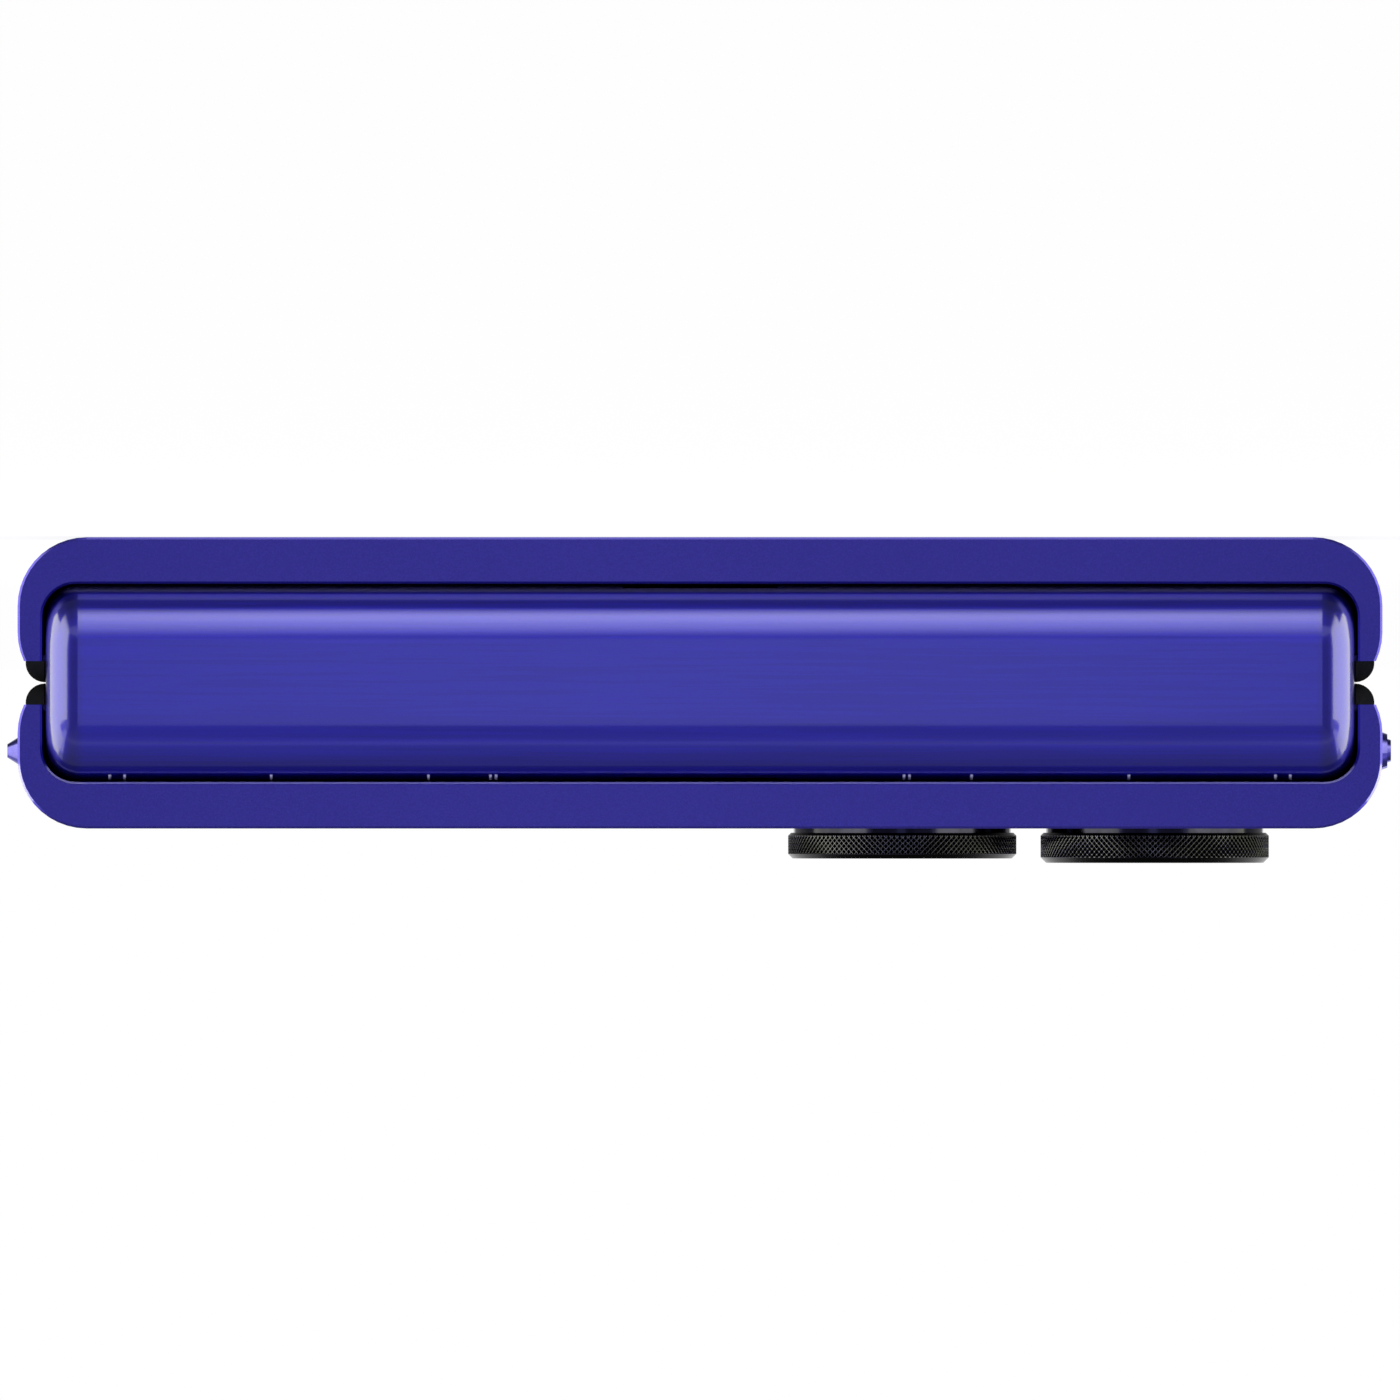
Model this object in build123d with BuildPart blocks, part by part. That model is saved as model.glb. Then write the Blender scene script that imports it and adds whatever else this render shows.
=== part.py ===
from build123d import *

import os
from math import asin, degrees, sqrt

# A folding clamshell phone, shut, lying on the back of its base half. The front half, with
# the cover screen and the cameras, lies face up on top. X runs across the phone, Y from the
# hinge cover (-Y) to the far end (+Y) and Z up. The origin is under the middle of the shut
# phone, on its lower face. Sizes are in millimetres.
#
# Each half is built as the base half, outer face down at Z = 0, and the front half's pieces
# are mirrored across the fold plane.

# ---- The shut phone ----
body_width = 74.0
body_thickness = 15.8  # outer face to outer face
half_length = 85.75  # one half, end face to far end
spine_proud = 2.35  # hinge cover beyond the end faces
rim_gap = 0.06  # between the two soft rims
open_gap = 0.10  # between the two end faces when the phone is open
overcut = 1.0  # how far a cut starts beyond what it opens

# ---- Outline of one half, from its outer face ----
corner_radius = 9.5
outer_edge_radius = 3.75
side_land = 1.4  # flat band between the two edge roundings
inner_edge_radius = 3.7
frame_height = 6.72
bevel_width = 0.12  # round the end face, measured on the face
bevel_depth = 0.085

# ---- Fold ----
axis_drop = 1.5  # each fold axis from the fold plane
spine_side_wall = 1.33  # frame left beside the hinge pocket
spine_end_gap = 0.20
spine_gap = 0.08
spine_corner = 1.75
spine_wall = 0.80
spine_lip_drop = 0.20  # the cover's lips stop this far short of the axes
pocket_wall = 0.80

# ---- Layers of one half, inward from its outer face ----
cover_thickness = 0.70
cover_ledge = 0.40
cover_inset = 3.95  # glass edge from the outline
cover_gap = 0.08
cover_hinge_rim = 2.20  # metal left between the glass and the end face
window_inset = 1.50  # ledge that the glass is glued to
cavity_hinge_corner = 1.50
side_wall = 2.70
far_wall = 2.75
deck_thickness = 1.10
plate_thickness = 0.15
panel_thickness = 0.30
display_recess = 0.55  # screen surface below the fold plane
display_edge = 2.40  # screen's edge from the outline
rim_inset = 0.44
rim_edge_radius = 1.04
rim_cover = 0.95  # how far the rim's lip lies over the screen
rim_lip_gap = 0.03
panel_start = 1.60  # flat screen starts this far beyond the fold axis
plate_start = 2.60
rim_start = 1.55

# ---- Hinge modules ----
module_start = 17.0  # inner end of each module, from the middle
post_width = 0.80
gear_width = 1.36
inner_post_width = 0.60
arm_width = 4.75
friction_length = 1.60
running_gap = 0.05  # sideways, between a turning piece and a post
post_reach = 1.70  # post beyond each fold axis
shaft_radius = 0.35
shaft_clearance = 0.03
barrel_radius = 0.60
barrel_gap = 0.15  # round the barrels and washers
arm_thickness = 0.57
arm_top = 0.45  # arm's upper face above the axis
arm_foot_width = 9.0
arm_foot_length = 5.2
arm_seat_gap = 0.05
gear_pitch_radius = 0.90
gear_teeth = 12
gear_addendum = 0.13
gear_dedendum = 0.18
tooth_thickness = 0.17  # at the pitch circle, with its backlash taken off
tooth_flank_slope = 0.30
sector_teeth = 4
idler_pin_radius = 0.25
washer_count = 4
washer_thickness = 0.34
end_cap_radius = 1.40
end_cap_width = 0.70

# ---- Fasteners ----
screw_shank_radius = 0.50
screw_head_radius = 0.95
screw_head_height = 0.25
arm_screw_spacing = 5.6
boss_radius = 1.30
boss_depth = 0.90
core_screw_shank_radius = 0.35
core_screw_head_radius = 0.70
core_screw_head_height = 0.30
core_floor = 0.75
core_thread_depth = 0.60  # core screw's reach into the hinge cover

# ---- Inside the base half ----
battery_height = 4.30
battery_side_gap = 3.8  # to the cavity wall
battery_corner = 1.2
battery_lift = 1.25  # outer face of the battery above the half's outer face
battery_hinge_gap = 6.07  # to the wall of the hinge pocket
battery_board_gap = 1.0
coil_outer_radius = 21.0
coil_inner_radius = 10.0
coil_thickness = 0.35
coil_shift = 5.18  # coil's middle from the half's, toward the hinge
board_inset = 3.10
board_thickness = 0.70
board_level = 5.00
base_board_reach = 27.55  # far end to the board's inner edge
usb_width = 8.94
usb_height = 3.26
usb_wall = 0.25
usb_length = 7.40
usb_setback = 0.35
usb_level = 4.10
usb_gap = 0.08
tongue_width = 6.70
tongue_height = 0.70
tongue_length = 4.60
speaker_width = 20.0
speaker_length = 14.0
speaker_height = 3.60
speaker_side_gap = 1.8  # speaker to the side wall
speaker_front = 0.40  # speaker to the far wall
speaker_lift = 1.30
speaker_hole_radius = 0.55
speaker_hole_count = 6
speaker_hole_pitch = 2.2
speaker_hole_level = 3.90
haptic_width = 9.5
haptic_length = 13.5
haptic_setback = 1.0  # from the board's inner edge
haptic_reader_gap = 2.63
microphone_width = 3.5
microphone_length = 2.6
microphone_height = 1.0
microphone_x = 9.0
microphone_hole_radius = 0.40
tray_from_end = 19.85
tray_level = 4.40
tray_face_length = 12.2
tray_face_height = 1.16
tray_face_depth = 1.10
tray_face_round = 0.55
tray_gap = 0.07
tray_thickness = 0.70
tray_width = 11.2
tray_reach = 15.4  # whole tray, across the phone
card_length = 12.4
card_width = 8.9
card_margin = 0.80  # tray left beyond the card's inner end
eject_hole_radius = 0.40
eject_hole_offset = 4.6
reader_wall = 0.30
reader_play = 0.12

# ---- Inside the front half ----
front_board_gap = 2.0  # battery to board
front_board_reach = 29.05  # far end to the board's inner edge
board_notch_gap = 0.20  # board to what stands in its openings
camera_from_end = 12.35
wide_camera_from_side = 11.82
camera_pitch = 13.98  # between the two camera rings
ring_radius = 6.32
ring_neck_radius = 6.02
ring_neck_height = 0.38
ring_bore_radius = 4.60
ring_tube_radius = 5.20
ring_flange_radius = 5.70
ring_flange_height = 0.30
ring_hole_gap = 0.06
main_ring_height = 1.80
wide_ring_height = 2.04
main_ring_chamfer = 0.25
wide_ring_chamfer = 0.30
window_sink = 0.30  # lens window below the ring's top
window_thickness = 0.45
window_seat = 0.35
camera_size = 10.4
camera_height = 3.90
lens_barrel_radius = 3.40
barrel_play = 0.06
focus_travel = 0.25
flash_pitch = 12.30  # main camera to flash
flash_radius = 1.90
flash_height = 0.90
flash_screen_margin = 1.0  # cover screen's opening round the flash
shield_height = 1.90
shield_width = 27.0
shield_length = 20.0
shield_side_gap = 3.8
shield_from_end = 16.55
shield_wall = 0.20
selfie_from_end = 6.2
selfie_body_radius = 2.20
selfie_nose_radius = 1.45
selfie_hole_radius = 1.60
selfie_body_height = 2.4
earpiece_width = 10.0
earpiece_length = 3.4
earpiece_height = 2.2
earpiece_level = 3.20
ear_slot_width = 9.0
ear_slot_height = 0.50
ear_slot_from_end = 1.95
ear_mouth_height = 1.0

# ---- Keys, in the front half ----
key_level = 4.20  # key centre from the outer face
key_gap = 0.08
key_flange = 0.50
key_flange_margin = 0.70
flange_gap = 0.02
key_travel = 0.25
power_key_pitch = 19.0  # power key's middle from the volume key's
power_key_length = 12.5
power_key_height = 2.18
power_key_stand = 0.45
power_key_taper = 0.16
volume_key_setback = 15.0  # key's middle from the board's inner edge
volume_key_length = 22.0
volume_key_height = 1.70
volume_key_stand = 0.80
volume_key_taper = 0.26
volume_key_flange_gap = 0.25  # lets the rocker tip about its middle
volume_key_press = 0.15  # rocker's travel at each switch
side_key_setback = 34.0
side_key_length = 10.5
side_key_height = 1.70
side_key_stand = 0.75
side_key_taper = 0.48
switch_size = 2.4
switch_depth = 0.75
switch_gap = 0.04
volume_switch_spacing = 14.0
bracket_thickness = 0.40

# ---- Antenna breaks and flexible pieces ----
band_depth = 0.80
band_width = 1.10
band_from_end = 11.45
band_from_hinge = 8.70
flex_width = 8.0
flex_thickness = 0.14
flex_level = 5.60
flex_tail = 5.2
flex_slot_gap = 0.20
flex_notch_gap = 0.30  # cover's notch to the circuit that crosses it when open
fold_strip_depth = 0.25  # screen strip's middle, outward of the panels' start

# ---- Worked out from the sizes above ----
body_length = half_length + spine_proud
far_y = body_length / 2
end_face_y = far_y - half_length
fold_z = body_thickness / 2
envelope_height = outer_edge_radius + side_land + inner_edge_radius
axis_y = end_face_y + axis_drop - open_gap / 2
spine_radius = spine_proud + axis_drop - open_gap / 2
base_axis_z = fold_z - axis_drop
pocket_radius = spine_radius + spine_gap
pocket_half_length = body_width / 2 - spine_side_wall
spine_half_length = pocket_half_length - spine_end_gap
pocket_end_y = axis_y + pocket_radius
panel_top = fold_z - display_recess
panel_bottom = panel_top - panel_thickness
deck_top = panel_bottom - plate_thickness
deck_bottom = deck_top - deck_thickness
ledge_top = cover_thickness + cover_ledge
rim_top = fold_z - rim_gap / 2
cavity_half_width = body_width / 2 - side_wall
cavity_far_y = far_y - far_wall
gear_start = module_start + post_width + running_gap
inner_post_start = gear_start + gear_width + running_gap
arm_start = inner_post_start + inner_post_width + running_gap
outer_post_start = arm_start + arm_width + running_gap
washers_start = outer_post_start + post_width
end_post_start = washers_start + friction_length
module_end = end_post_start + post_width
arm_x = arm_start + arm_width / 2
arm_foot_y = pocket_end_y + arm_seat_gap
arm_screw_y = arm_foot_y + arm_foot_length / 2
arm_top_z = base_axis_z + arm_top
arm_bottom_z = arm_top_z - arm_thickness
mesh_angle = degrees(asin((axis_drop - gear_pitch_radius) / (2 * gear_pitch_radius)))
idler_y = axis_y - sqrt((2 * gear_pitch_radius) ** 2 - (axis_drop - gear_pitch_radius) ** 2)
base_idler_z = fold_z - gear_pitch_radius
tooth_pitch = 360 / gear_teeth
cover_inner_y = axis_y - spine_radius + spine_wall
core_floor_y = cover_inner_y + core_floor
selfie_y = far_y - selfie_from_end
ear_slot_y = far_y - ear_slot_from_end
ear_mouth_start = earpiece_level + ear_slot_height
battery_start = pocket_end_y + pocket_wall + battery_hinge_gap
battery_width = 2 * (cavity_half_width - battery_side_gap)
base_board_start = far_y - base_board_reach
front_board_start = far_y - front_board_reach
base_battery_length = base_board_start - battery_board_gap - battery_start
front_battery_length = front_board_start - front_board_gap - battery_start
coil_y = (end_face_y + far_y) / 2 - coil_shift
speaker_x = speaker_side_gap + speaker_width / 2 - cavity_half_width
tray_y = far_y - tray_from_end
reader_inner_x = body_width / 2 - tray_reach - reader_play
haptic_x = reader_inner_x - reader_wall - haptic_reader_gap - haptic_width / 2
camera_y = far_y - camera_from_end
wide_camera_x = wide_camera_from_side - body_width / 2
main_camera_x = wide_camera_x + camera_pitch
flash_x = main_camera_x + flash_pitch
shield_x = cavity_half_width - shield_side_gap - shield_width / 2
shield_y = far_y - shield_from_end
volume_key_y = front_board_start - volume_key_setback
power_key_y = volume_key_y - power_key_pitch
side_key_y = front_board_start - side_key_setback
band_far_y = far_y - band_from_end
band_hinge_y = end_face_y + band_from_hinge
fold_plane = Plane.XY.offset(fold_z)


# ---- Shared shapes ----
def half_outline(inset=0.0, hinge_edge=end_face_y, hinge_corner=0.0):
    """Return one half's plan, `inset` in from its sides and far end."""
    with BuildSketch() as outline:
        with Locations((0, hinge_edge)):
            Rectangle(
                body_width - 2 * inset,
                far_y - inset - hinge_edge,
                align=(Align.CENTER, Align.MIN),
            )
        fillet(outline.vertices().group_by(Axis.Y)[-1], corner_radius - inset)
        if hinge_corner:
            fillet(outline.vertices().group_by(Axis.Y)[0], hinge_corner)
    return outline.sketch


def slab(plan, bottom, top):
    """Return the solid over a plan between two heights."""
    with BuildPart() as body:
        with BuildSketch(Plane.XY.offset(bottom)):
            add(plan)
        extrude(amount=top - bottom)
    return body.part


def block(x_range, y_range, z_range):
    """Return the box between the given pairs of coordinates."""
    with BuildPart() as body:
        with BuildSketch(Plane((x_range[0], y_range[0], z_range[0]))):
            Rectangle(
                x_range[1] - x_range[0], y_range[1] - y_range[0], align=(Align.MIN, Align.MIN)
            )
        extrude(amount=z_range[1] - z_range[0])
    return body.part


def rod(center, radius, x_range):
    """Return the cylinder along X about a point given as its Y and Z."""
    with BuildPart() as body:
        with BuildSketch(side_plane(x_range[0], center)):
            Circle(radius)
        extrude(amount=x_range[1] - x_range[0])
    return body.part


def side_plane(x, center):
    """Return the plane across X whose own axes run along Y and Z."""
    return Plane(origin=(x, center[0], center[1]), x_dir=(0, 1, 0), z_dir=(1, 0, 0))


def disc(center, radius, bottom, top):
    """Return the upright cylinder about a point given as its X and Y."""
    with BuildSketch() as plan:
        with Locations(center):
            Circle(radius)
    return slab(plan.sketch, bottom, top)


def on_front(piece):
    """Return a piece of the base half mirrored into the front half."""
    with BuildPart() as image:
        add(piece)
        mirror(about=fold_plane, mode=Mode.REPLACE)
    return image.part


def half_envelope(inset=0.0):
    """Return one half's outer shape below its soft rim, `inset` in from the surface."""
    overrun = corner_radius
    with BuildPart() as shape:
        with BuildSketch(Plane.XY.offset(inset)):
            add(half_outline(inset, end_face_y - overrun))
        extrude(amount=envelope_height - 2 * inset)
        outer_edges = shape.faces().sort_by(Axis.Z)[0].edges().sort_by(Axis.Y)[1:]
        fillet(outer_edges, outer_edge_radius - inset)
        inner_edges = shape.faces().sort_by(Axis.Z)[-1].edges().sort_by(Axis.Y)[1:]
        fillet(inner_edges, inner_edge_radius - inset)
        split(bisect_by=Plane.XY.offset(frame_height), keep=Keep.BOTTOM)
        split(bisect_by=Plane((0, end_face_y, 0), z_dir=(0, 1, 0)), keep=Keep.TOP)
    return shape.part


def strip_profile(radius, half_length, corner):
    """Return the strip that is turned about a fold axis to make the spine or its pocket."""
    with BuildSketch() as strip:
        Rectangle(2 * half_length, radius, align=(Align.CENTER, Align.MAX))
        fillet(strip.vertices().group_by(Axis.Y)[0], corner)
    return strip.sketch


def turned_strip(radius, half_length, corner, arc):
    """Return the strip turned about the base fold axis, from the hinge side downward."""
    with BuildPart() as turned:
        with BuildSketch(Plane((0, axis_y, base_axis_z))):
            add(strip_profile(radius, half_length, corner))
        revolve(axis=Axis((0, axis_y, base_axis_z), (1, 0, 0)), revolution_arc=arc)
    return turned.part


def hinge_pocket():
    """Return the space that the spine needs in the base half, shut or open."""
    corner = spine_corner + spine_gap
    with BuildPart() as pocket:
        add(turned_strip(pocket_radius, pocket_half_length, corner, 180))
        mouth = Plane(
            origin=(0, axis_y, base_axis_z), x_dir=(1, 0, 0), z_dir=(0, -1, 0)
        )
        with BuildSketch(mouth):
            add(strip_profile(pocket_radius, pocket_half_length, corner))
        extrude(amount=axis_y - end_face_y)
        add(
            block(
                (-pocket_half_length, pocket_half_length),
                (end_face_y, pocket_end_y),
                (base_axis_z, deck_top),
            )
        )
    return pocket.part


def spine_bar(radius, half_length, corner):
    """Return the D-section bar that rounds both fold axes and is flat between them."""
    with BuildPart() as bar:
        add(turned_strip(radius, half_length, corner, 90))
        mirror(about=fold_plane)
        with BuildSketch(Plane((0, axis_y, base_axis_z))):
            add(strip_profile(radius, half_length, corner))
        extrude(amount=2 * axis_drop)
    return bar.part


def cover_plan(shrink=0.0):
    """Return the plan of the glass in a half's outer face."""
    return half_outline(
        cover_inset + shrink,
        end_face_y + cover_hinge_rim + shrink,
        corner_radius - cover_inset - shrink,
    )


def cavity_plan(inset=0.0):
    """Return the plan of the space inside a half, `inset` in from its walls."""
    with BuildSketch() as plan:
        start = pocket_end_y + pocket_wall + inset
        with Locations((0, start)):
            Rectangle(
                2 * (cavity_half_width - inset),
                cavity_far_y - inset - start,
                align=(Align.CENTER, Align.MIN),
            )
        fillet(plan.vertices().group_by(Axis.Y)[-1], corner_radius - side_wall - inset)
        fillet(plan.vertices().group_by(Axis.Y)[0], cavity_hinge_corner)
    return plan.sketch


def arm_foot(gap=0.0):
    """Return the plan of the hinge arms' feet, widened by a gap."""
    with BuildSketch() as plan:
        with Locations((arm_x, arm_foot_y - gap), (-arm_x, arm_foot_y - gap)):
            Rectangle(
                arm_foot_width + 2 * gap,
                arm_foot_length + 2 * gap,
                align=(Align.CENTER, Align.MIN),
            )
    return plan.sketch


def arm_screw_places():
    """Return the plan positions of the screws that hold the hinge arms."""
    offsets = (-arm_screw_spacing / 2, arm_screw_spacing / 2)
    return [(side * (arm_x + shift), arm_screw_y) for side in (-1, 1) for shift in offsets]


def half_frame():
    """Return the metal frame that both halves share."""
    with BuildPart() as frame:
        add(half_envelope())
        end_face = frame.faces().sort_by(Axis.Y)[0]
        outer_edges = end_face.edges().sort_by(Axis.Z)[:-1]
        chamfer(outer_edges, bevel_width, bevel_depth, reference=end_face)
        add(slab(half_outline(display_edge), frame_height, deck_top))
        add(slab(cover_plan(), 0, cover_thickness), mode=Mode.SUBTRACT)
        window = half_outline(
            cover_inset + window_inset, pocket_end_y + pocket_wall, window_inset
        )
        add(slab(window, cover_thickness, ledge_top), mode=Mode.SUBTRACT)
        add(slab(cavity_plan(), ledge_top, deck_bottom), mode=Mode.SUBTRACT)
        add(hinge_pocket(), mode=Mode.SUBTRACT)
        mouth_floor = base_axis_z - pocket_radius
        end_face = frame.faces().sort_by(Axis.Y)[0]
        mouth_edges = [
            edge
            for edge in end_face.edges()
            if abs(edge.center().X) < pocket_half_length + spine_gap
            and mouth_floor - spine_gap < edge.center().Z < frame_height - spine_gap
        ]
        chamfer(mouth_edges, bevel_width, bevel_depth, reference=end_face)
        add(slab(arm_foot(arm_seat_gap), arm_bottom_z, deck_top), mode=Mode.SUBTRACT)
        for place in arm_screw_places():
            add(disc(place, boss_radius, deck_bottom - boss_depth, deck_bottom))
            add(
                disc(place, screw_shank_radius, deck_bottom - boss_depth, deck_top),
                mode=Mode.SUBTRACT,
            )
        add(
            block(
                (-flex_width / 2 - flex_slot_gap, flex_width / 2 + flex_slot_gap),
                (pocket_end_y - overcut, pocket_end_y + pocket_wall + overcut),
                (flex_level - flex_slot_gap, flex_level + flex_thickness + flex_slot_gap),
            ),
            mode=Mode.SUBTRACT,
        )
        add(antenna_bands(), mode=Mode.SUBTRACT)
    return frame.part


def antenna_bands():
    """Return the plastic breaks let into the sides of a half's frame."""
    with BuildPart() as breaks:
        for band_y in (band_hinge_y, band_far_y):
            for side in (-1, 1):
                edge = side * body_width / 2
                inner = side * (body_width / 2 - cover_inset)
                add(
                    block(
                        (min(edge, inner), max(edge, inner)),
                        (band_y - band_width / 2, band_y + band_width / 2),
                        (0, frame_height),
                    )
                )
    with BuildPart() as bands:
        add(half_envelope())
        add(half_envelope(band_depth), mode=Mode.SUBTRACT)
        add(breaks.part, mode=Mode.INTERSECT)
    return bands.part


def rim_end_cut():
    """Return what is cut off the rim's ends so that they roll past each other."""
    with BuildPart() as cut:
        add(
            block(
                (-body_width / 2, body_width / 2),
                (end_face_y - overcut, axis_y),
                (frame_height - overcut, fold_z),
            )
        )
        roll_radius = rim_top - base_axis_z
        roll = rod((axis_y, base_axis_z), roll_radius, (-body_width / 2, body_width / 2))
        add(roll, mode=Mode.SUBTRACT)
    return cut.part


def half_rim():
    """Return the soft rim round a half's screen, open toward the hinge."""
    jog_half_width = spine_half_length + spine_gap
    with BuildPart() as rim:
        with BuildSketch(Plane.XY.offset(frame_height)):
            add(half_outline(rim_inset, end_face_y - corner_radius))
        extrude(amount=rim_top - frame_height)
        fillet(rim.faces().sort_by(Axis.Z)[-1].edges().sort_by(Axis.Y)[1:], rim_edge_radius)
        split(bisect_by=Plane((0, end_face_y, 0), z_dir=(0, 1, 0)), keep=Keep.TOP)
        inside = half_outline(display_edge - cover_gap)
        add(slab(inside, frame_height, panel_top + rim_lip_gap), mode=Mode.SUBTRACT)
        opening = half_outline(display_edge + rim_cover)
        add(slab(opening, panel_top, rim_top), mode=Mode.SUBTRACT)
        add(
            block(
                (-jog_half_width, jog_half_width),
                (end_face_y, axis_y + rim_start),
                (frame_height, rim_top),
            ),
            mode=Mode.SUBTRACT,
        )
        add(rim_end_cut(), mode=Mode.SUBTRACT)
    return rim.part


def toothed_rim(first_tooth, count):
    """Return the teeth of a gear, `count` of them from an angle measured from +Y to +Z."""
    tip_radius = gear_pitch_radius + gear_addendum
    root_radius = gear_pitch_radius - gear_dedendum
    tip_half = tooth_thickness / 2 - gear_addendum * tooth_flank_slope
    root_half = tooth_thickness / 2 + gear_dedendum * tooth_flank_slope
    sunk = root_radius - gear_dedendum
    with BuildSketch() as teeth:
        with PolarLocations(0, count, first_tooth, count * tooth_pitch):
            Polygon(
                (sunk, -root_half),
                (root_radius, -root_half),
                (tip_radius, -tip_half),
                (tip_radius, tip_half),
                (root_radius, root_half),
                (sunk, root_half),
                align=None,
            )
    return teeth.sketch


def sector_gear(first_tooth):
    """Return the toothed sector at the root of a hinge arm, centred on its axis."""
    last_tooth = first_tooth + (sector_teeth - 1) * tooth_pitch
    reach = 3 * gear_pitch_radius
    margin = tooth_pitch / 4
    first_side = Vector(reach, 0).rotate(Axis.Z, first_tooth - margin)
    last_side = Vector(reach, 0).rotate(Axis.Z, last_tooth + margin)
    with BuildSketch() as gear:
        Circle(gear_pitch_radius - gear_dedendum)
        Polygon((0, 0), first_side, last_side, align=None, mode=Mode.INTERSECT)
        Circle(barrel_radius)
        add(toothed_rim(first_tooth, sector_teeth))
    return gear.sketch


def hinge_arms(first_tooth):
    """Return the base half's two arms, each with its barrel, toothed sector and foot."""
    axis_center = (axis_y, base_axis_z)
    with BuildPart() as arms:
        with BuildSketch(side_plane(gear_start, axis_center)):
            add(sector_gear(first_tooth))
        extrude(amount=gear_width)
        add(rod(axis_center, barrel_radius, (gear_start, arm_start + arm_width)))
        add(
            block(
                (arm_start, arm_start + arm_width),
                (axis_y, arm_foot_y + arm_foot_length),
                (arm_bottom_z, arm_top_z),
            )
        )
        mirror(about=Plane.YZ)
        add(slab(arm_foot(), arm_bottom_z, arm_top_z))
        bore = rod(
            axis_center, shaft_radius + shaft_clearance, (-body_width / 2, body_width / 2)
        )
        add(bore, mode=Mode.SUBTRACT)
        for place in arm_screw_places():
            add(disc(place, screw_shank_radius, arm_bottom_z, arm_top_z), mode=Mode.SUBTRACT)
            add(
                disc(place, screw_head_radius, arm_top_z - screw_head_height, arm_top_z),
                mode=Mode.SUBTRACT,
            )
    return arms.part


def arm_screws():
    """Return the screws through the base half's arms into the frame's bosses."""
    with BuildPart() as screws:
        for place in arm_screw_places():
            add(disc(place, screw_shank_radius, deck_bottom - boss_depth, arm_top_z))
            add(disc(place, screw_head_radius, arm_top_z - screw_head_height, arm_top_z))
    return screws.part


def idler_gears(center, first_tooth):
    """Return the two idlers, one in each module, that turn about one axis."""
    with BuildPart() as idlers:
        with BuildSketch(side_plane(gear_start, center)):
            Circle(gear_pitch_radius - gear_dedendum)
            add(toothed_rim(first_tooth, gear_teeth))
            Circle(idler_pin_radius + shaft_clearance, mode=Mode.SUBTRACT)
        extrude(amount=gear_width)
        mirror(about=Plane.YZ)
    return idlers.part


def capsule_plan(length, width):
    """Return a round-ended slot shape centred on the plane's origin."""
    with BuildSketch() as plan:
        SlotOverall(length, width)
    return plan.sketch


def camera_ring(x, stand, edge_chamfer):
    """Return the metal ring that holds a camera window above the front glass."""
    top = -stand
    window_bottom = top + window_sink + window_thickness
    with BuildPart() as ring:
        add(disc((x, camera_y), ring_radius, top, -ring_neck_height))
        chamfer(ring.faces().sort_by(Axis.Z)[0].edges(), edge_chamfer)
        add(disc((x, camera_y), ring_neck_radius, -ring_neck_height, 0))
        add(disc((x, camera_y), ring_tube_radius, 0, cover_thickness))
        add(
            disc(
                (x, camera_y),
                ring_flange_radius,
                cover_thickness,
                cover_thickness + ring_flange_height,
            )
        )
        add(
            disc((x, camera_y), ring_bore_radius, top, cover_thickness + ring_flange_height),
            mode=Mode.SUBTRACT,
        )
        add(
            disc((x, camera_y), ring_bore_radius + window_seat, top, window_bottom),
            mode=Mode.SUBTRACT,
        )
    return ring.part


def key(y, length, height, stand, taper, side, wall_gap):
    """Return a side key of the front half: cap, shank through the wall and flange."""
    surface = body_width / 2
    flange_outer = cavity_half_width - wall_gap
    with BuildPart() as button:
        with BuildSketch(key_plane(surface, y)):
            add(capsule_plan(length, height))
        with BuildSketch(key_plane(surface + stand, y)):
            add(capsule_plan(length - 2 * taper, height - 2 * taper))
        loft()
        with BuildSketch(key_plane(flange_outer, y)):
            add(capsule_plan(length, height))
        extrude(amount=surface - flange_outer)
        with BuildSketch(key_plane(flange_outer - key_flange, y)):
            add(capsule_plan(length + 2 * key_flange_margin, height))
        extrude(amount=key_flange)
        if side < 0:
            mirror(about=Plane.YZ, mode=Mode.REPLACE)
    return button.part


def key_plane(x, y):
    """Return the plane across X at a key's height in the front half."""
    return Plane(
        origin=(x, y, body_thickness - key_level), x_dir=(0, 1, 0), z_dir=(1, 0, 0)
    )


def key_slot(y, length, height, side):
    """Return the opening that a key's shank needs in the frame wall."""
    with BuildPart() as opening:
        with BuildSketch(key_plane(cavity_half_width - overcut, y)):
            add(capsule_plan(length + 2 * key_gap, height + 2 * key_gap))
        extrude(amount=side_wall + 2 * overcut)
        if side < 0:
            mirror(about=Plane.YZ, mode=Mode.REPLACE)
    return opening.part


def end_hole(x, level, radius):
    """Return the hole through the far wall of a half at a height."""
    with BuildPart() as hole:
        start = Plane(origin=(x, cavity_far_y - overcut, level), z_dir=(0, 1, 0))
        with BuildSketch(start):
            Circle(radius)
        extrude(amount=far_wall + 2 * overcut)
    return hole.part


def usb_outline(margin=0.0):
    """Return the socket's round-ended outline, centred on its own plane."""
    with BuildSketch() as plan:
        SlotOverall(usb_width + 2 * margin, usb_height + 2 * margin)
    return plan.sketch


def usb_plane(y):
    """Return the plane across Y at the socket's height, facing out of the far end."""
    return Plane(origin=(0, y, usb_level), x_dir=(1, 0, 0), z_dir=(0, -1, 0))


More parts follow.
